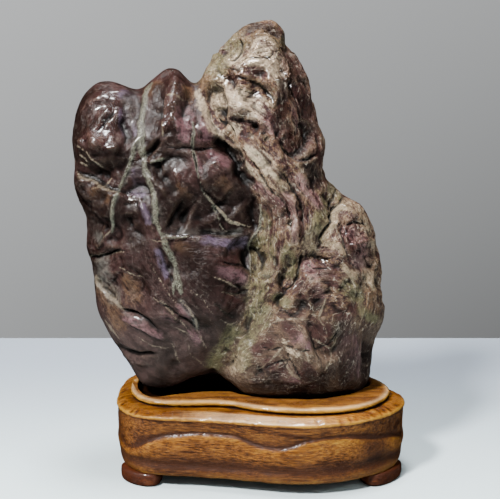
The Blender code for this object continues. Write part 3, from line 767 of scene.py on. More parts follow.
class Shade:
    """A value or colour on its way through a finish. Arithmetic on it adds Math nodes."""

    def __init__(self, tree, socket=None):
        self.tree = tree
        self.socket = socket

    def feed(self, sockets, values):
        """Plain values and links put into a node's sockets."""
        for key, value in values.items():
            if isinstance(value, Shade):
                self.tree.links.new(value.socket, sockets[key])
            else:
                sockets[key].default_value = value

    def node(self, kind, settings=None, values=None, output=0):
        """A new node: its settings are made first, then the values or links of its sockets."""
        made = self.tree.nodes.new("ShaderNode" + kind)
        for name, setting in (settings or {}).items():
            if name == "stops":
                ramp = made.color_ramp
                while len(ramp.elements) < len(setting):
                    ramp.elements.new(0.5)
                for element, (place, colour) in zip(ramp.elements, setting):
                    element.position = place
                    element.color = (*colour, 1.0)
            else:
                setattr(made, name, setting)
        self.feed(made.inputs, values or {})
        return Shade(self.tree, made.outputs[output])

    def math(self, operation, *values):
        return self.node("Math", {"operation": operation}, dict(enumerate(values)))

    def __add__(self, other):
        return self.math("ADD", self, other)

    def __sub__(self, other):
        return self.math("SUBTRACT", self, other)

    def __rsub__(self, other):
        return self.math("SUBTRACT", other, self)

    def __mul__(self, other):
        return self.math("MULTIPLY", self, other)

    def __neg__(self):
        return 0 - self

    def __abs__(self):
        return self.math("ABSOLUTE", self)

    __radd__ = __add__
    __rmul__ = __mul__

    def at_least(self, low):
        return self.math("MAXIMUM", self, low)

    def at_most(self, high):
        return self.math("MINIMUM", self, high)

    def between(self, low, high):
        """0 up to low, 1 from high, with a soft turn at both."""
        bounds = {"Value": self, "From Min": low, "From Max": high}
        return self.node("MapRange", {"interpolation_type": "SMOOTHSTEP"}, bounds)

    def mixed(self, top, mask, way="MIX"):
        """This colour with another over it where mask is 1, by the Mix node's colour sockets."""
        return self.node("Mix", {"data_type": "RGBA", "blend_type": way}, {0: mask, 6: self, 7: top}, 2)

    def tinted(self, colour, mask):
        """This colour with a plain one laid over it where mask is 1."""
        return self.mixed((*colour, 1.0), mask)

    def shaded(self, amount):
        """This colour made darker or lighter by a value."""
        grey = self.node("CombineColor", None, {0: amount, 1: amount, 2: amount})
        return self.mixed(grey, 1.0, "MULTIPLY")

    def ramped(self, *stops):
        """This value as a colour, by stops of (value, colour)."""
        return self.node("ValToRGB", {"stops": stops}, {0: self})

    def attribute(self, name):
        """A field kept on the mesh, as a value."""
        return self.node("Attribute", {"attribute_name": name}, None, 2)

    def place(self):
        """Where on its own piece each point lies."""
        return self.node("TexCoord", None, None, 3)

    def noise(self, scale=1.0, detail=4.0, roughness=0.55, distortion=0.0):
        """Fractal noise over this place."""
        return self.node("TexNoise", None, {
            "Vector": self, "Scale": scale, "Detail": detail,
            "Roughness": roughness, "Distortion": distortion,
        })

    def grained(self, along, across):
        """This place scaled so that noise over it runs in streaks along x."""
        return self.node("VectorMath", {"operation": "MULTIPLY"}, {0: self, 1: (along, across, across)})


def new_finish(name):
    """A bare finish: the material, its shader node and a Shade to start from."""
    material = bpy.data.materials.new(name)
    material.use_nodes = True
    return material, material.node_tree.nodes["Principled BSDF"], Shade(material.node_tree)


SCRATCH_TAN = (0.1850, 0.1450, 0.1000)
CRACK_BLACK = (0.0060, 0.0035, 0.0025)
DEEP_BROWN = (0.0130, 0.0058, 0.0046)
PLUM_BROWN = (0.0370, 0.0160, 0.0145)
GREY_BROWN = (0.0660, 0.0380, 0.0320)
MAROON = (0.0270, 0.0090, 0.0078)
# Mauve, also laid on as painted highlight.
MAUVE_AND_SHEEN = (0.1350, 0.0640, 0.0720)
LAVENDER = (0.0820, 0.0580, 0.0880)
BEIGE = (0.1550, 0.1030, 0.0640)
CREAM = (0.2900, 0.2200, 0.1500)
PALE_CREAM = (0.4600, 0.4000, 0.3200)
TAWNY = (0.1750, 0.1270, 0.0780)
TAN = (0.0880, 0.0450, 0.0230)
MILKY = (0.0850, 0.0800, 0.0680)
OLIVE = (0.0780, 0.0680, 0.0320)
SAGE = (0.1550, 0.1530, 0.1120)
DUST = (0.0900, 0.0600, 0.0490)
LOW_BROWN = (0.0440, 0.0260, 0.0170)

# The grain at four sizes, the streaks that follow the strands, and what was kept on the mesh.
stone_finish, shader, start = new_finish("waxed_stone")
where = start.place()
broad = where.noise(scale=28, detail=4, roughness=0.55, distortion=0.6)
medium = where.noise(scale=95, detail=5, roughness=0.62, distortion=0.4)
fine = where.noise(scale=420, detail=4, roughness=0.65)
speck = where.noise(scale=1300, detail=2, roughness=0.6)
rough_side = start.attribute("rough")
folds_at = start.attribute("folds")
creases_at = start.attribute("creases")
fine_out = start.attribute("fine_proud")
broad_out = start.attribute("broad_proud")
dusty_at = start.attribute("dusty")
grain_level = start.attribute("grain_level")
grain_falling = start.attribute("grain_falling")


def strands(along, across):
    """Fine strands along the grain, about -0.3 to 0.3: four set directions, blended by which is nearest."""
    total = 0
    for k, share in enumerate((grain_level, grain_falling, -grain_level, -grain_falling)):
        turn = {"Vector": where, "Angle": -k * math.pi / 4}
        turned = start.node("VectorRotate", {"rotation_type": "Y_AXIS"}, turn)
        lines = turned.grained(along, across).noise(detail=3, roughness=0.6, distortion=0.5)
        total = total + (lines - 0.5) * share.at_least(0.0)
    return total


strand = strands(along=110.0, across=620.0)
hair = strands(along=160.0, across=1300.0)
ragged = (medium - 0.5) * 0.50 + (fine - 0.5) * 0.8 + (speck - 0.5) * 0.5 + creases_at * 0.15 + strand * 1.5
broken = (0.86 + creases_at * 0.35 + strand * 3.0 + hair * 1.8 + (fine - 0.5) * 1.0).at_most(1.0)

# The two grounds: the smooth block at left and the rough mass at right, both duller towards the foot.
left_tone = broad * 0.72 + medium * 0.26 + fine * 0.12 + creases_at * 0.06 + strand * 0.35
left = left_tone.ramped((0.48, DEEP_BROWN), (0.66, PLUM_BROWN), (0.86, GREY_BROWN))
right_tone = medium * 0.28 + fine * 0.42 + speck * 0.30 + folds_at * 0.08 + creases_at * 0.10
right_tone = right_tone + strand * 0.9 + hair * 0.4
right = right_tone.ramped((0.28, MAROON), (0.43, PLUM_BROWN), (0.53, TAN), (0.66, BEIGE), (0.90, CREAM))
body = left.mixed(right, (rough_side + ragged * 0.5).between(0.42, 0.58))
body = body.tinted(DUST, dusty_at * (1 - rough_side) * (0.04 + medium * 0.25))
body = body.tinted(LOW_BROWN, dusty_at * rough_side * (0.60 + medium * 0.5))

# The patches in the order they lie over each other: (field, colour, mask from, mask to, strength).
for name, colour, low, high, strength in (
    ("olive", OLIVE, 0.20, 0.90, 0.82),
    ("tan", TAN, 0.25, 1.00, 0.80),
    ("tawny", TAWNY, 0.22, 0.95, 0.75),
    # The mauve patches are partly painted highlight.
    ("mauve", MAUVE_AND_SHEEN, 0.20, 1.00, 0.66),
    ("cream", CREAM, 0.22, 0.92, 0.95),
    ("maroon", MAROON, 0.20, 0.80, 0.88),
    ("milky", MILKY, 0.25, 1.00, 0.60),
    ("lavender", LAVENDER, 0.25, 1.00, 0.90),
    # The dark brown patches are partly painted shadow.
    ("deep", DEEP_BROWN, 0.10, 0.85, 0.90),
):
    mask = (start.attribute(name) + ragged * 0.75).between(low, high) * strength
    if name not in ("maroon", "deep"):
        mask = (mask * broken).at_least(0.0)
    body = body.tinted(colour, mask)

# Veins, scratches, cracks and hairlines.
vein = (start.attribute("vein") + ragged * 0.9).between(-0.45, 0.55)
body = body.tinted(SAGE, vein * (fine * 1.9 - 0.20).at_least(0.05))
body = body.tinted(DEEP_BROWN, vein * (speck + fine * 0.5).between(0.73, 0.83) * 0.85)
scratch = (start.attribute("scratch") + (fine - 0.5) * 2.2 + (speck - 0.5) * 0.8).between(-0.35, 0.6)
body = body.tinted(SCRATCH_TAN, scratch * (0.62 - dusty_at * 0.22))
crack = (start.attribute("crack") + (fine - 0.5) * 1.8 + (medium - 0.5) * 2.0).between(-0.3, 0.6)
body = body.tinted(CRACK_BLACK, crack * 0.75)
crease_line = (1 - abs(creases_at).between(0.0, 0.10)) * fine.between(0.46, 0.56) * 0.6
strand_line = (1 - abs(strand).between(0.0, 0.022)) * medium.between(0.46, 0.56) * 0.45
hairline = crease_line + strand_line
body = body.tinted(PALE_CREAM, hairline * (0.10 + rough_side * 0.42) * (1 - dusty_at * 0.35))

# Crests are painted paler, as wear and painted highlight. Hollows are painted darker as shade. The foot is
# worn evener than the rest.
body = body.tinted(BEIGE, fine_out.between(0.04, 0.4) * (0.08 + rough_side * 0.18))
painted_hollow_shade = 1 - (-fine_out).between(0.02, 0.36) * 0.70 - (-broad_out).between(0.3, 3.0) * 0.25
worn = dusty_at * (1 - rough_side * 0.7)
light = 0.40 + rough_side * 0.16 + (fine - 0.5) * (1.6 - worn * 0.7) + speck * (1.0 + rough_side * 0.50)
body = body.shaded(light * painted_hollow_shade)

# Wax: polished on crests and on the patches of gloss, dull under the dark patches and painted shadow, and
# where the stone is dusty.
polish = start.attribute("gloss") - start.attribute("deep") * 0.7 + ragged * 0.7
polish = (polish + fine_out.between(0.05, 0.35) * 0.45).between(0.20, 0.75) * (1 - dusty_at * 0.5)
gloss = 0.38 + rough_side * 0.10 - polish * (0.16 + rough_side * 0.14) + dusty_at * (0.34 - rough_side * 0.10)
gloss = gloss + (medium - 0.5) * 0.20 + (fine - 0.5) * 0.20

# The fine relief that the mesh is too coarse for: strands, specks and small bent flakes.
BUMP_REACH = 0.0017
FLAKE_BEND = (0.005, 0.005, 0.005)
height = strand * (0.4 + rough_side * 0.8) + fine * (0.30 + rough_side * 0.5) + speck * 0.06 + medium * 0.6
height = height + hairline * 0.12
bends = start.node("TexNoise", None, {"Vector": where, "Scale": 240.0, "Detail": 2.0}, 1)
bent_place = start.node("VectorMath", {"operation": "MULTIPLY_ADD"}, {0: bends, 1: FLAKE_BEND, 2: where})
flakes = start.node("TexVoronoi", None, {"Vector": bent_place, "Scale": 340.0})
height = height - crack * 0.35 + vein * 0.12 - flakes * (0.15 + rough_side * 0.40)
height = height * (1 - worn * 0.45)
bump = start.node("Bump", None, {"Strength": 0.7, "Distance": BUMP_REACH, "Height": height})
start.feed(shader.inputs, {
    "Base Color": body,
    "Roughness": gloss,
    "Metallic": polish * rough_side * 0.38,
    "Normal": bump,
    "Specular IOR Level": 0.22,
    "Coat Weight": 0.02 + polish * (0.85 + rough_side * 0.15),
    "Coat Roughness": 0.14,
})
skin.materials.clear()
skin.materials.append(stone_finish)
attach(stone, "root")
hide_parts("stone")

# ---------------------------------------------------------------------------------------------------------
# The stand: one block of pale hardwood carved by hand into a waved belly, a ledge and a raised tier with a
# sunk seat, then stained amber and varnished. It is darker in its hollows from stain and painted shade and
# paler on its worn front from wear and painted highlight, and the seat is painted black as shadow. The stone
# sits in the seat.
# ---------------------------------------------------------------------------------------------------------
STAND_SHIFT = (1.3, 2.6, -1.3)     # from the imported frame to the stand's own drawing, in mm
BODY_PLAN = [
    (-70.4, 8), (-69.6, -8), (-66, -19), (-59.5, -27.2), (-50, -32), (-38, -34.6), (-24, -36.2), (-9, -38.8),
    (6, -42), (20, -44.8), (34, -46), (48, -44.2), (62, -39.8), (75, -32.2), (85, -23.2), (91.2, -12.5),
    (92.9, -3), (90.4, 7), (83, 19), (72, 30), (56, 39.5), (36, 46.5), (14, 50), (-10, 51), (-32, 51),
    (-49, 49), (-61, 43), (-67.6, 33), (-70, 21),
]
TIER_PLAN = [
    (-61.6, 8), (-61, -2), (-58.8, -10), (-54.8, -17), (-48.6, -22), (-41, -24.3), (-31, -24.9), (-20, -24.4),
    (-9, -25), (-1, -27.6), (8, -31.6), (17, -34.7), (28, -36.7), (38, -37.2), (48, -36.2), (58, -33.8),
    (67, -29.6), (75, -22.8), (80.6, -14), (83.2, -5), (82.4, 4), (78, 14), (69, 24.5), (55, 33), (36, 39.4),
    (14, 42.6), (-10, 43.4), (-31, 43), (-46, 41), (-55.5, 34), (-60.2, 22),
]
SEAT_PLAN = [
    (-60.5, 10), (-58.2, 0), (-55, -9), (-50, -15.6), (-43.5, -15.4), (-37, -13), (-29.5, -10.4), (-21, -8.2),
    (-12, -6.6), (-5, -7.4), (0.5, -12), (8, -16), (17, -18.2), (26, -19.8), (36, -20.6), (46, -18.8),
    (55, -15), (63, -9.6), (70, -1), (74.5, 8), (71, 18), (60, 26.5), (44, 31.5), (24, 33.5), (4, 33),
    (-16, 32.5), (-34, 31), (-48, 27), (-57.5, 19.5),
]
# Shares of the way round the stand start at its left end and run along the front first.
BELLY_TOP = [
    (0.0, 24.5), (0.04, 25.5), (0.075, 20.5), (0.095, 21), (0.115, 26), (0.137, 29.7), (0.18, 31.8),
    (0.227, 31.4), (0.25, 27.4), (0.276, 26), (0.294, 27), (0.312, 30.5), (0.34, 31.9), (0.37, 31.8),
    (0.41, 28.4), (0.445, 26), (0.475, 22), (0.51, 27), (0.56, 30.5), (0.62, 31.6), (0.68, 31),
    (0.715, 26.5), (0.75, 26), (0.79, 31), (0.84, 31.8), (0.89, 29), (0.925, 22), (0.96, 26),
]
MEAN_BELLY_TOP = 28.5
BODY_BOTTOM = 5.5
LEDGE_MIDDLE = 40.6
TIER_TOP = 46.0
SEAT_FLOOR = 41.0
# Height, how far inside the plan, the share of the belly's rise and fall, and how much stain gathers there.
# In the grooves this is partly painted shade; below 0 it is wear with painted highlight.
BODY_PROFILE = [
    (BODY_BOTTOM, 4.4, 0, 0.9), (5.7, 2.8, 0, 0.8), (6.3, 1.9, 0, 0.6), (7.4, 1.4, 0, 0.5),
    (9.4, 1.2, 0, 0.55), (10.6, 1.5, 0, 0.75), (12.0, 2.1, 0, 0.85), (13.6, 2.2, 0, 0.8),
    (15.4, 1.7, 0.1, 0.6), (18.0, 1.1, 0.3, 0.2), (20.8, 0.7, 0.5, 0), (23.5, 0.7, 0.8, 0),
    (25.8, 0.9, 1, 0), (27.0, 1.2, 1, 0.2), (27.7, 1.8, 1, 0.8), (28.4, 2.5, 1, 1.0),
    (29.6, 2.3, 0.9, 0.55), (31.4, 2.0, 0.6, 0.35), (34.4, 1.6, 0.3, 0.3), (37.0, 1.3, 0, 0.3),
    (37.9, 1.1, 0, 0.5), (38.3, 0.7, 0, 0.2), (38.9, 0.5, 0, -0.2), (39.5, 0.7, 0, -0.5),
    (39.9, 1.3, 0, -0.7), (40.4, 2.4, 0, -0.6), (41.3, 4.2, 0, -0.6), (42.0, 6.0, 0, -0.6),
]
# Height, how far inside the tier's or the seat's own plan, and stain. Under the tier's lip this is partly
# painted shade, on its top below 0 it is wear with painted highlight, and in the seat it is painted shadow.
TIER_PROFILE = [
    (42.2, -0.6, -0.1), (42.0, 1.6, 1.0), (42.6, 1.5, 0.8), (43.1, 0.6, 0.3), (43.6, -0.3, 0),
    (44.2, -0.7, -0.1), (44.8, -0.7, -0.3), (45.4, -0.3, -0.5), (45.8, 0.5, -0.6), (TIER_TOP, 1.6, -0.5),
    (TIER_TOP, 3.5, -0.4),
]
SEAT_PROFILE = [
    (TIER_TOP, -1.6, -0.4), (45.8, -0.6, 0.0), (45.1, 0.2, 0.5), (43.4, 0.8, 1.5), (41.8, 1.0, 2),
    (41.2, 1.5, 2), (SEAT_FLOOR, 2.4, 2),
]
# How deep the step above the belly is cut, round from the left end: it runs out at both ends of the stand.
STEP_DEPTH = [
    (0.0, 0.1), (0.08, 0.1), (0.105, 1), (0.45, 1), (0.475, 0.3), (0.5, 0.3), (0.53, 1), (0.9, 1),
    (0.93, 0.1),
]
STEP_FROM, STEP_TO = 27.0, 37.0
STEP_FLUSH = 1.1
STEP_STAIN = 0.3
TUCK_TOP, TUCK_IN = 16.0, 2.6                 # both ends are tucked in below this height,
LOW_GROOVE_FROM, LOW_GROOVE_FLUSH = 9, 1.2    # and the groove there runs out
END_GROOVE, END_GROOVE_SPREAD = 0.477, 0.004
END_GROOVE_FROM, END_GROOVE_TO = 14, 36
END_STAIN, END_STAIN_SPREAD = 0.3, 0.06
# Painted shade on the belly near the right end.
RIGHT_END_SHADE, RIGHT_END_SHADE_MIDDLE, RIGHT_END_SHADE_SPREAD = 0.7, 0.41, 0.025
RIGHT_END_SHADE_FROM, RIGHT_END_SHADE_TO = 15, 28
HIGHLIGHT_MIDDLE, HIGHLIGHT_SPREAD = 0.25, 0.13    # where the worn front is painted paler still, as a highlight
WEAR_AND_HIGHLIGHT_AT_BACK = 0.3
AROUND = 560
CARVED_ROW = 0.6
UNDERSIDE_RINGS, SEAT_RINGS = 20, 24


def smooth_loop(plan, per_span=24):
    """A closed smooth curve through the points of a plan."""
    p = np.array(plan, float)
    before, after, beyond = np.roll(p, 1, 0), np.roll(p, -1, 0), np.roll(p, -2, 0)
    steps = []
    for t in np.arange(per_span) / per_span:
        steps.append(0.5 * (2 * p + (after - before) * t + (2 * before - 5 * p + 4 * after - beyond) * t * t
                            + (3 * p - before - 3 * after + beyond) * t ** 3))
    return np.stack(steps, 1).reshape(-1, 2)


def evenly_round(loop, count):
    """count points at even steps along a closed loop, from its first point."""
    closed = np.vstack([loop, loop[:1]])
    along = np.concatenate([[0], np.cumsum(np.linalg.norm(np.diff(closed, axis=0), axis=1))])
    places = np.linspace(0, along[-1], count, endpoint=False)
    return np.stack([np.interp(places, along, closed[:, k]) for k in (0, 1)], 1)


def round_stand(table):
    """A table of (share of the way round, value) as a value at each of the stand's even steps."""
    shares, values = zip(*table)
    return np.interp(round_share, shares, values, period=1.0)


def set_in(ring, inset):
    """The ring moved inwards, square to its own line. It runs anticlockwise."""
    run = np.roll(ring, -1, 0) - np.roll(ring, 1, 0)
    run /= np.linalg.norm(run, axis=1)[:, None]
    return ring + np.stack([-run[:, 1], run[:, 0]], 1) * inset


def with_rows(corner_rings, spacing):
    """The profile's rings with rows put in between, about spacing apart in mm."""
    rings = []
    for low, high in zip(corner_rings[:-1], corner_rings[1:]):
        rows = max(1, round(np.linalg.norm((high - low)[:, :3], axis=1).mean() / spacing))
        rings += [low + (high - low) * k / rows for k in range(rows)]
    return rings + corner_rings[-1:]


def shrinking(ring, count):
    """Rings inside this one, closing in on its heart."""
    heart = ring.mean(0)
    return [heart + (ring - heart) * (1 - k / count) for k in range(1, count)]


def lofted(rings, name):
    """A closed object through rings of equal count given in drawing millimetres."""
    count = len(rings[0])
    corners = (np.concatenate(rings)[:, :3] - STAND_SHIFT) * MM
    faces = []
    for row in range(len(rings) - 1):
        for i in range(count):
            j = (i + 1) % count
            faces.append((row * count + i, row * count + j, (row + 1) * count + j, (row + 1) * count + i))
    faces.append(tuple(range(count))[::-1])
    faces.append(tuple(range((len(rings) - 1) * count, len(rings) * count)))
    mesh = bpy.data.meshes.new(name)
    mesh.from_pydata(corners.tolist(), [], faces)
    made = bpy.data.objects.new(name, mesh)
    bpy.context.scene.collection.objects.link(made)
    return made


body_plan, tier_plan, seat_plan = [
    evenly_round(smooth_loop(plan), AROUND) for plan in (BODY_PLAN, TIER_PLAN, SEAT_PLAN)
]
round_share = np.arange(AROUND) / AROUND
soft_turn = np.hanning(15) / np.hanning(15).sum()
belly_wave = np.convolve(np.tile(round_stand(BELLY_TOP), 3), soft_turn, "same")[AROUND:2 * AROUND]
belly_wave -= MEAN_BELLY_TOP
step_depth = round_stand(STEP_DEPTH)
front_highlight = WEAR_AND_HIGHLIGHT_AT_BACK + (1 - WEAR_AND_HIGHLIGHT_AT_BACK) * bell(round_share - HIGHLIGHT_MIDDLE, HIGHLIGHT_SPREAD)
end_stain = END_STAIN * bell((round_share + 0.5) % 1 - 0.5, END_STAIN_SPREAD)
right_end_shade = RIGHT_END_SHADE * bell(round_share - RIGHT_END_SHADE_MIDDLE, RIGHT_END_SHADE_SPREAD)
end_groove = bell(round_share - END_GROOVE, END_GROOVE_SPREAD)
corner_rings = []
for height, inset, sway, stain in BODY_PROFILE:
    depth_in = np.full(AROUND, inset)
    ring_stain_and_light = np.full(AROUND, stain)
    if STEP_FROM < height < STEP_TO:
        depth_in = STEP_FLUSH + (inset - STEP_FLUSH) * step_depth
        ring_stain_and_light = STEP_STAIN + (stain - STEP_STAIN) * step_depth
    elif height < TUCK_TOP:
        depth_in += (1 - step_depth) * (1 - height / TUCK_TOP) * TUCK_IN
        depth_in -= (1 - step_depth) * max(inset - LOW_GROOVE_FLUSH, 0) * (height > LOW_GROOVE_FROM)
    if stain < 0:
        ring_stain_and_light = ring_stain_and_light * front_highlight
    ring_stain_and_light = ring_stain_and_light + end_stain + right_end_shade * (RIGHT_END_SHADE_FROM < height < RIGHT_END_SHADE_TO)
    depth_in += end_groove * (END_GROOVE_FROM < height < END_GROOVE_TO)
    edge = set_in(body_plan, depth_in[:, None])
    corner_rings.append(np.column_stack([edge, height + belly_wave * sway, ring_stain_and_light]))
for plan, profile in ((tier_plan, TIER_PROFILE), (seat_plan, SEAT_PROFILE)):
    for height, inset, stain in profile:
        level = np.tile([height, stain], (AROUND, 1))
        corner_rings.append(np.column_stack([set_in(plan, inset), level]))
stand_rings = with_rows(corner_rings, CARVED_ROW)
underside = shrinking(stand_rings[0], UNDERSIDE_RINGS)[::-1]
stand_rings = underside + stand_rings + shrinking(stand_rings[-1], SEAT_RINGS)
stand = lofted(stand_rings, "carved_stand")
wood = stand.data
points = mesh_points(wood)
row_of = np.arange(len(points)) // AROUND
step_of = np.arange(len(points)) % AROUND
inside_rows = (row_of > 0) & (row_of < len(stand_rings) - 1)
points[inside_rows] = evened(wood, points, 3)[inside_rows]
put_points(wood, points)
facing = mesh_normals(wood)

# Knife and scraper marks: long soft waves, short chatter across the edges, and a wandering hand.
EDGE_LENGTH = 430
UPPER_FROM, UPPER_TO = 37.0, 39.0
CHATTER_SIZE, WAVE_SIZE, FLAT_SIZE = 1.9, 9.0, 4.5
BELLY_EDGE_SPREAD, LEDGE_SPREAD = 1.6, 1.1
FINE_EVENINGS, BROAD_EVENINGS = 6, 70
along_edge = round_share[step_of] * EDGE_LENGTH
drawn_height = points[:, 2] / MM + STAND_SHIFT[2]
chatter = flat_lumps(np.column_stack([along_edge, points[:, 2] / MM * 0.4]), CHATTER_SIZE, 21)
waves = flat_lumps(np.column_stack([along_edge, points[:, 2] / MM * 2]), WAVE_SIZE, 22)
flats = lumps(points / MM * (1, 1, 1.6), FLAT_SIZE, 23)
upper = smooth_between(UPPER_FROM, UPPER_TO, drawn_height)
belly_edge = bell(drawn_height - MEAN_BELLY_TOP - belly_wave[step_of], BELLY_EDGE_SPREAD)
ledge_band = bell(drawn_height - LEDGE_MIDDLE, LEDGE_SPREAD)
carve = waves * 0.16 + flats * (0.09 + 0.08 * upper + 0.16 * ledge_band)
carve += chatter * (0.03 + 0.09 * upper + 0.20 * ledge_band + 0.18 * belly_edge)
points += facing * carve[:, None] * MM
put_points(wood, points)
facing = mesh_normals(wood)
stain = np.concatenate(stand_rings)[:, 3]
keep_fields(wood, {
    "fine_proud": proud(wood, points, facing, FINE_EVENINGS),
    "broad_proud": proud(wood, points, facing, BROAD_EVENINGS),
    "stain": stain,
})
wood.shade_smooth()

UMBER = (0.0125, 0.0040, 0.0011)
RED_BROWN = (0.0460, 0.0120, 0.0022)
AMBER = (0.1900, 0.0630, 0.0055)
OCHRE = (0.3300, 0.1550, 0.0150)
PALE_OCHRE_HIGHLIGHT = (0.5400, 0.3700, 0.2100)
SEAT_SHADOW_BLACK = (0.0030, 0.0018, 0.0012)
SEAT_SHADOW_LEVEL = 1.7           # a face with more stain and painted shade than this lies in the seat


def varnished_wood(name, umber, red_brown, amber, ochre, shine):
    """Stained hardwood with a varnish: long streaks, short dark pores, stain and painted shade gathered in
    the hollows, and painted highlight on edges and worn faces.
    """
    material, shader, start = new_finish(name)
    where = start.place()
    streak = where.grained(6.0, 240.0).noise(detail=5, roughness=0.6, distortion=0.6)
    figure = where.grained(9.0, 45.0).noise(detail=3, roughness=0.55, distortion=0.8)
    pores = where.grained(300.0, 2200.0).noise(detail=2, roughness=0.5)
    mottle = where.grained(60.0, 60.0).noise(detail=4, roughness=0.6)
    fibre = where.grained(55.0, 1250.0).noise(detail=3, roughness=0.6)
    fine_out = start.attribute("fine_proud")
    broad_out = start.attribute("broad_proud")
    stain = start.attribute("stain")
    tone = streak * 0.30 + figure * 0.20 + mottle * 0.16 + fibre * 0.42 - 0.03
    tone = tone + fine_out * 0.45 + broad_out * 0.05 - stain * 0.075
    colour = tone.ramped((0.32, umber), (0.44, red_brown), (0.56, amber), (0.72, ochre))
    pore = (pores + fibre * 0.45).between(0.76, 0.84)
    colour = colour.tinted(umber, pore * 0.45)
    # Hollows are painted darker, as stain and painted shade; proud edges paler ochre, as wear and a painted
    # rim highlight.
    colour = colour.tinted(umber, (-fine_out).between(0.02, 0.22) * 0.75)
    colour = colour.tinted(ochre, fine_out.between(0.06, 0.26) * 0.6)

    # Stain gathers in the hollows, partly as painted shade. Where it is below 0 the varnish is worn:
    # blotched, glossier, and painted paler as a highlight.
    gathered = stain + (mottle - 0.5) * 0.6 + (streak - 0.5) * 0.6
    colour = colour.tinted(red_brown, gathered.between(0.12, 0.7) * 0.65)
    colour = colour.tinted(umber, gathered.between(0.75, 1.3) * 0.6)
    worn = (-stain).between(0.05, 0.5)
    colour = colour.tinted(red_brown, worn * (1 - (streak * 0.6 + mottle * 0.4).between(0.42, 0.56)) * 0.6)
    # Painted highlight: the worn ledge and tier top tinted pale ochre.
    colour = colour.tinted(PALE_OCHRE_HIGHLIGHT, (-stain).between(0.35, 0.75) * (0.25 + mottle * 0.8))
    # Worn faces are painted lighter as highlight, and the seat is painted darker as shadow.
    light = 0.33 + worn * 0.32 + mottle * 0.35 + fibre * 0.95 - stain.between(1.2, 1.9) * 0.85
    colour = colour.shaded(light)
    rubbed = (-stain).between(0.0, 0.5) * (mottle + (streak - 0.5) * 0.5).between(0.46, 0.58)
    ripple = fibre * 0.25 + pores * 0.10 + mottle * 0.35 - pore * 0.25
    bump = start.node("Bump", None, {"Strength": 0.6, "Distance": 0.0011, "Height": ripple})
    start.feed(shader.inputs, {
        "Base Color": colour,
        "Roughness": 0.28 + mottle * 0.16 + pore * 0.15 + stain * 0.18,
        "Normal": bump,
        "Specular IOR Level": 0.26,
        "Coat Weight": shine + rubbed * 0.9,
        "Coat Roughness": 0.12,
    })
    return material


wood.materials.append(varnished_wood("varnished_stand_wood", UMBER, RED_BROWN, AMBER, OCHRE, shine=0.05))
# The seat under the stone is painted near black with no specular, as painted shadow.
seat_shadow_finish, shader, start = new_finish("painted_shadow_seat")
pitted = start.place().noise(scale=260, detail=4, roughness=0.6)
start.feed(shader.inputs, {
    "Base Color": pitted.ramped((0.35, SEAT_SHADOW_BLACK), (0.70, UMBER)),
    "Roughness": 0.75 + pitted * 0.2,
    "Specular IOR Level": 0.0,
})
wood.materials.append(seat_shadow_finish)
in_seat = np.array([stain[list(face.vertices)].min() > SEAT_SHADOW_LEVEL for face in wood.polygons])
wood.polygons.foreach_set("material_index", in_seat.astype(np.int32))
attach(stand, "root")
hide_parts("stand")

# ---------------------------------------------------------------------------------------------------------
# The feet: four rounded pads of the same wood, stained redder, glued under the corners of the stand so that
# each follows its edge and stands a little proud of it.
# ---------------------------------------------------------------------------------------------------------
# Each foot's middle, as a share of the way round the stand.
FEET = {
    "foot_front_left": 0.0865,
    "foot_front_right": 0.446,
    "foot_back_right": 0.587,
    "foot_back_left": 0.918,
}
FOOT_LENGTH = 34.0
FOOT_WIDTH = 16.0
FOOT_PROUD = 0.3
FOOT_SQUARENESS = 0.62
# Drawn height and size, from the sole to the glued face, which is just inside the stand.
FOOT_PROFILE = [
    (-1.3, 0.70), (-1.3, 0.86), (-1.15, 0.92), (-0.75, 0.96), (0.0, 0.985), (1.2, 1.0), (3.6, 1.0),
    (4.8, 0.99), (5.6, 0.965), (6.1, 0.92), (6.2, 0.80),
]
FOOT_SIDES = 160
FOOT_ROW = 0.5
FOOT_STAIN, FOOT_TOP_STAIN = 0.35, 0.4
STAIN_FROM, STAIN_TO = 3.5 * MM, 6.5 * MM
FLAT_SOLE = 0.1 * MM
PAD_EVENINGS = 40
FINE_AROUND = 4300
FOOT_UMBER = (0.0100, 0.0028, 0.0009)
FOOT_RED = (0.0640, 0.0125, 0.0020)
FOOT_AMBER = (0.1450, 0.0380, 0.0045)
FOOT_OCHRE = (0.2200, 0.0850, 0.0140)

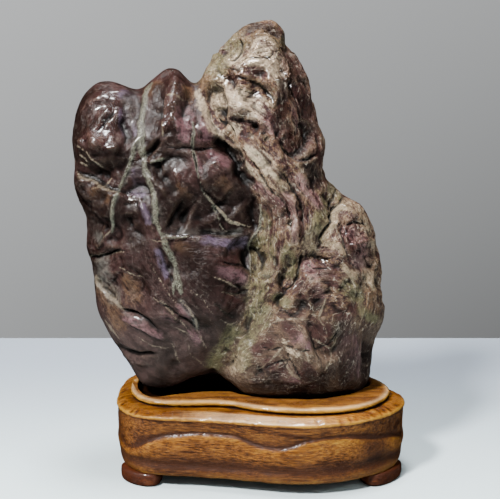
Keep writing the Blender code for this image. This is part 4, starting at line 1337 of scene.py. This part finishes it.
foot_finish = varnished_wood("varnished_foot_wood", FOOT_UMBER, FOOT_RED, FOOT_AMBER, FOOT_OCHRE, shine=0.60)
fine_plan = evenly_round(smooth_loop(BODY_PLAN), FINE_AROUND)
inward = set_in(fine_plan, 1.0) - fine_plan
perimeter = np.linalg.norm(np.roll(fine_plan, -1, 0) - fine_plan, axis=1).sum()
turn = np.arange(FOOT_SIDES) * 2 * math.pi / FOOT_SIDES
bulge = np.stack([np.cos(turn), np.sin(turn)])
bulge = np.sign(bulge) * np.abs(bulge) ** FOOT_SQUARENESS
for node, middle in FEET.items():
    corner_rings = []
    for height, size in FOOT_PROFILE:
        share = middle + bulge[0] * size * FOOT_LENGTH / 2 / perimeter
        inset = FOOT_WIDTH / 2 - FOOT_PROUD - bulge[1] * size * FOOT_WIDTH / 2
        spot = np.round(share * FINE_AROUND).astype(int) % FINE_AROUND
        edge = fine_plan[spot] + inward[spot] * inset[:, None]
        corner_rings.append(np.column_stack([edge, np.full(FOOT_SIDES, height)]))
    foot_rings = with_rows(corner_rings, FOOT_ROW)
    foot = lofted(foot_rings, node + "_pad")
    pad = foot.data
    points = mesh_points(pad)
    row_of = np.arange(len(points)) // FOOT_SIDES
    middle_rows = (points[:, 2] > FLAT_SOLE) & (row_of < len(foot_rings) - 1)
    points[middle_rows] = evened(pad, points, 3)[middle_rows]
    put_points(pad, points)
    marks = lumps(points / MM, 3.2, 31) * 0.10 + lumps(points / MM, 1.2, 32) * 0.03
    points[middle_rows] += (mesh_normals(pad) * marks[:, None] * MM)[middle_rows]
    put_points(pad, points)
    facing = mesh_normals(pad)
    keep_fields(pad, {
        "fine_proud": proud(pad, points, facing, FINE_EVENINGS),
        "broad_proud": proud(pad, points, facing, PAD_EVENINGS),
        "stain": FOOT_STAIN + FOOT_TOP_STAIN * smooth_between(STAIN_FROM, STAIN_TO, points[:, 2]),
    })
    pad.shade_smooth()
    pad.materials.append(foot_finish)
    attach(foot, "root")
    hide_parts(node)

# ---------------------------------------------------------------------------------------------------------
# The studio: a pale table top with a grey room behind it, soft light from the upper left, and the camera.
# ---------------------------------------------------------------------------------------------------------
TABLE_SIDE = 1.6
TABLE_FRONT, TABLE_BACK = -2.2, 0.25
# The table is painted paler in front and darker behind, as painted light falling off away from the lamps.
TABLE_NEAR = (0.82, 0.98, 1.00)
TABLE_FAR = (0.42, 0.48, 0.56)
NEAR_FROM, FAR_FROM = -0.12, 0.2
table_corners = [
    (-TABLE_SIDE, TABLE_FRONT, 0), (TABLE_SIDE, TABLE_FRONT, 0),
    (TABLE_SIDE, TABLE_BACK, 0), (-TABLE_SIDE, TABLE_BACK, 0),
]
table_mesh = bpy.data.meshes.new("table_top")
table_mesh.from_pydata(table_corners, [], [(0, 1, 2, 3)])
table_top = bpy.data.objects.new("table_top", table_mesh)
bpy.context.scene.collection.objects.link(table_top)
table_finish, shader, start = new_finish("pale_table")
along = start.node("SeparateXYZ", None, {0: start.place()}, 1)
start.feed(shader.inputs, {
    "Base Color": along.between(NEAR_FROM, FAR_FROM).ramped((0.0, TABLE_NEAR), (1.0, TABLE_FAR)),
    "Roughness": 0.5,
})
table_mesh.materials.append(table_finish)
table_top.visible_glossy = False

# The wall ahead is brighter to the left and higher up. The rest of the room is dim.
WALL_GREY = 0.515
WALL_LEFTWARDS, WALL_UPWARDS = 0.42, 0.78
WALL_DARKEST, WALL_PALEST = 0.2, 0.62
ROOM_DIM = 0.12
room = bpy.data.worlds.new("room")
bpy.context.scene.world = room
room.use_nodes = True
start = Shade(room.node_tree)
across, away, up = [start.node("SeparateXYZ", None, {0: start.node("TexCoord")}, k) for k in range(3)]
wall = WALL_GREY - across * WALL_LEFTWARDS + up * WALL_UPWARDS
wall = wall.at_least(WALL_DARKEST).at_most(WALL_PALEST)
ahead = away.between(0.3, 0.9)
room_grey = start.node("CombineColor", None, {0: 1.0, 1: 1.02, 2: 1.03})
room_colour = room_grey.shaded(wall * ahead + (1 - ahead) * ROOM_DIM)
start.feed(room.node_tree.nodes["Background"].inputs, {"Color": room_colour})
room.cycles_visibility.glossy = False


def soft_light(name, place, aim, size, power, colour):
    """A round lamp at a place, turned towards its aim."""
    lamp = bpy.data.lights.new(name, "AREA")
    lamp.shape = "DISK"
    lamp.size = size
    lamp.energy = power
    lamp.color = colour
    holder = bpy.data.objects.new(name, lamp)
    holder.location = place
    holder.rotation_euler = (Vector(aim) - Vector(place)).to_track_quat("-Z", "Y").to_euler()
    bpy.context.scene.collection.objects.link(holder)


COOL_WHITE = (0.97, 0.985, 1.0)
soft_light("key", (-0.50, -0.66, 0.95), (0, 0, 0.12), size=0.18, power=36.0, colour=(1.0, 0.995, 0.985))
soft_light("fill", (0.6, -1.1, 0.7), (0, 0, 0.1), size=0.8, power=1.1, colour=COOL_WHITE)
soft_light("right_window", (0.85, -0.45, 0.62), (0, 0, 0.14), size=0.06, power=1.6, colour=COOL_WHITE)
soft_light("left_window", (-0.95, -0.35, 0.42), (0, 0, 0.14), size=0.06, power=1.4, colour=COOL_WHITE)
soft_light("top", (0.0, -0.02, 1.12), (0, 0, 0.10), size=0.26, power=15.0, colour=(0.98, 0.99, 1.0))

lens = bpy.data.cameras.new("camera")
lens.sensor_width = 36.0
lens.lens = lens.sensor_width * ELEVATION_FOCUS / ELEVATION_WIDTH
lens.clip_start = 0.01
camera = bpy.data.objects.new("camera", lens)
camera.location = EYE
camera.rotation_euler = (math.pi / 2 - EYE_TILT, 0, 0)
bpy.context.scene.collection.objects.link(camera)
bpy.context.scene.camera = camera
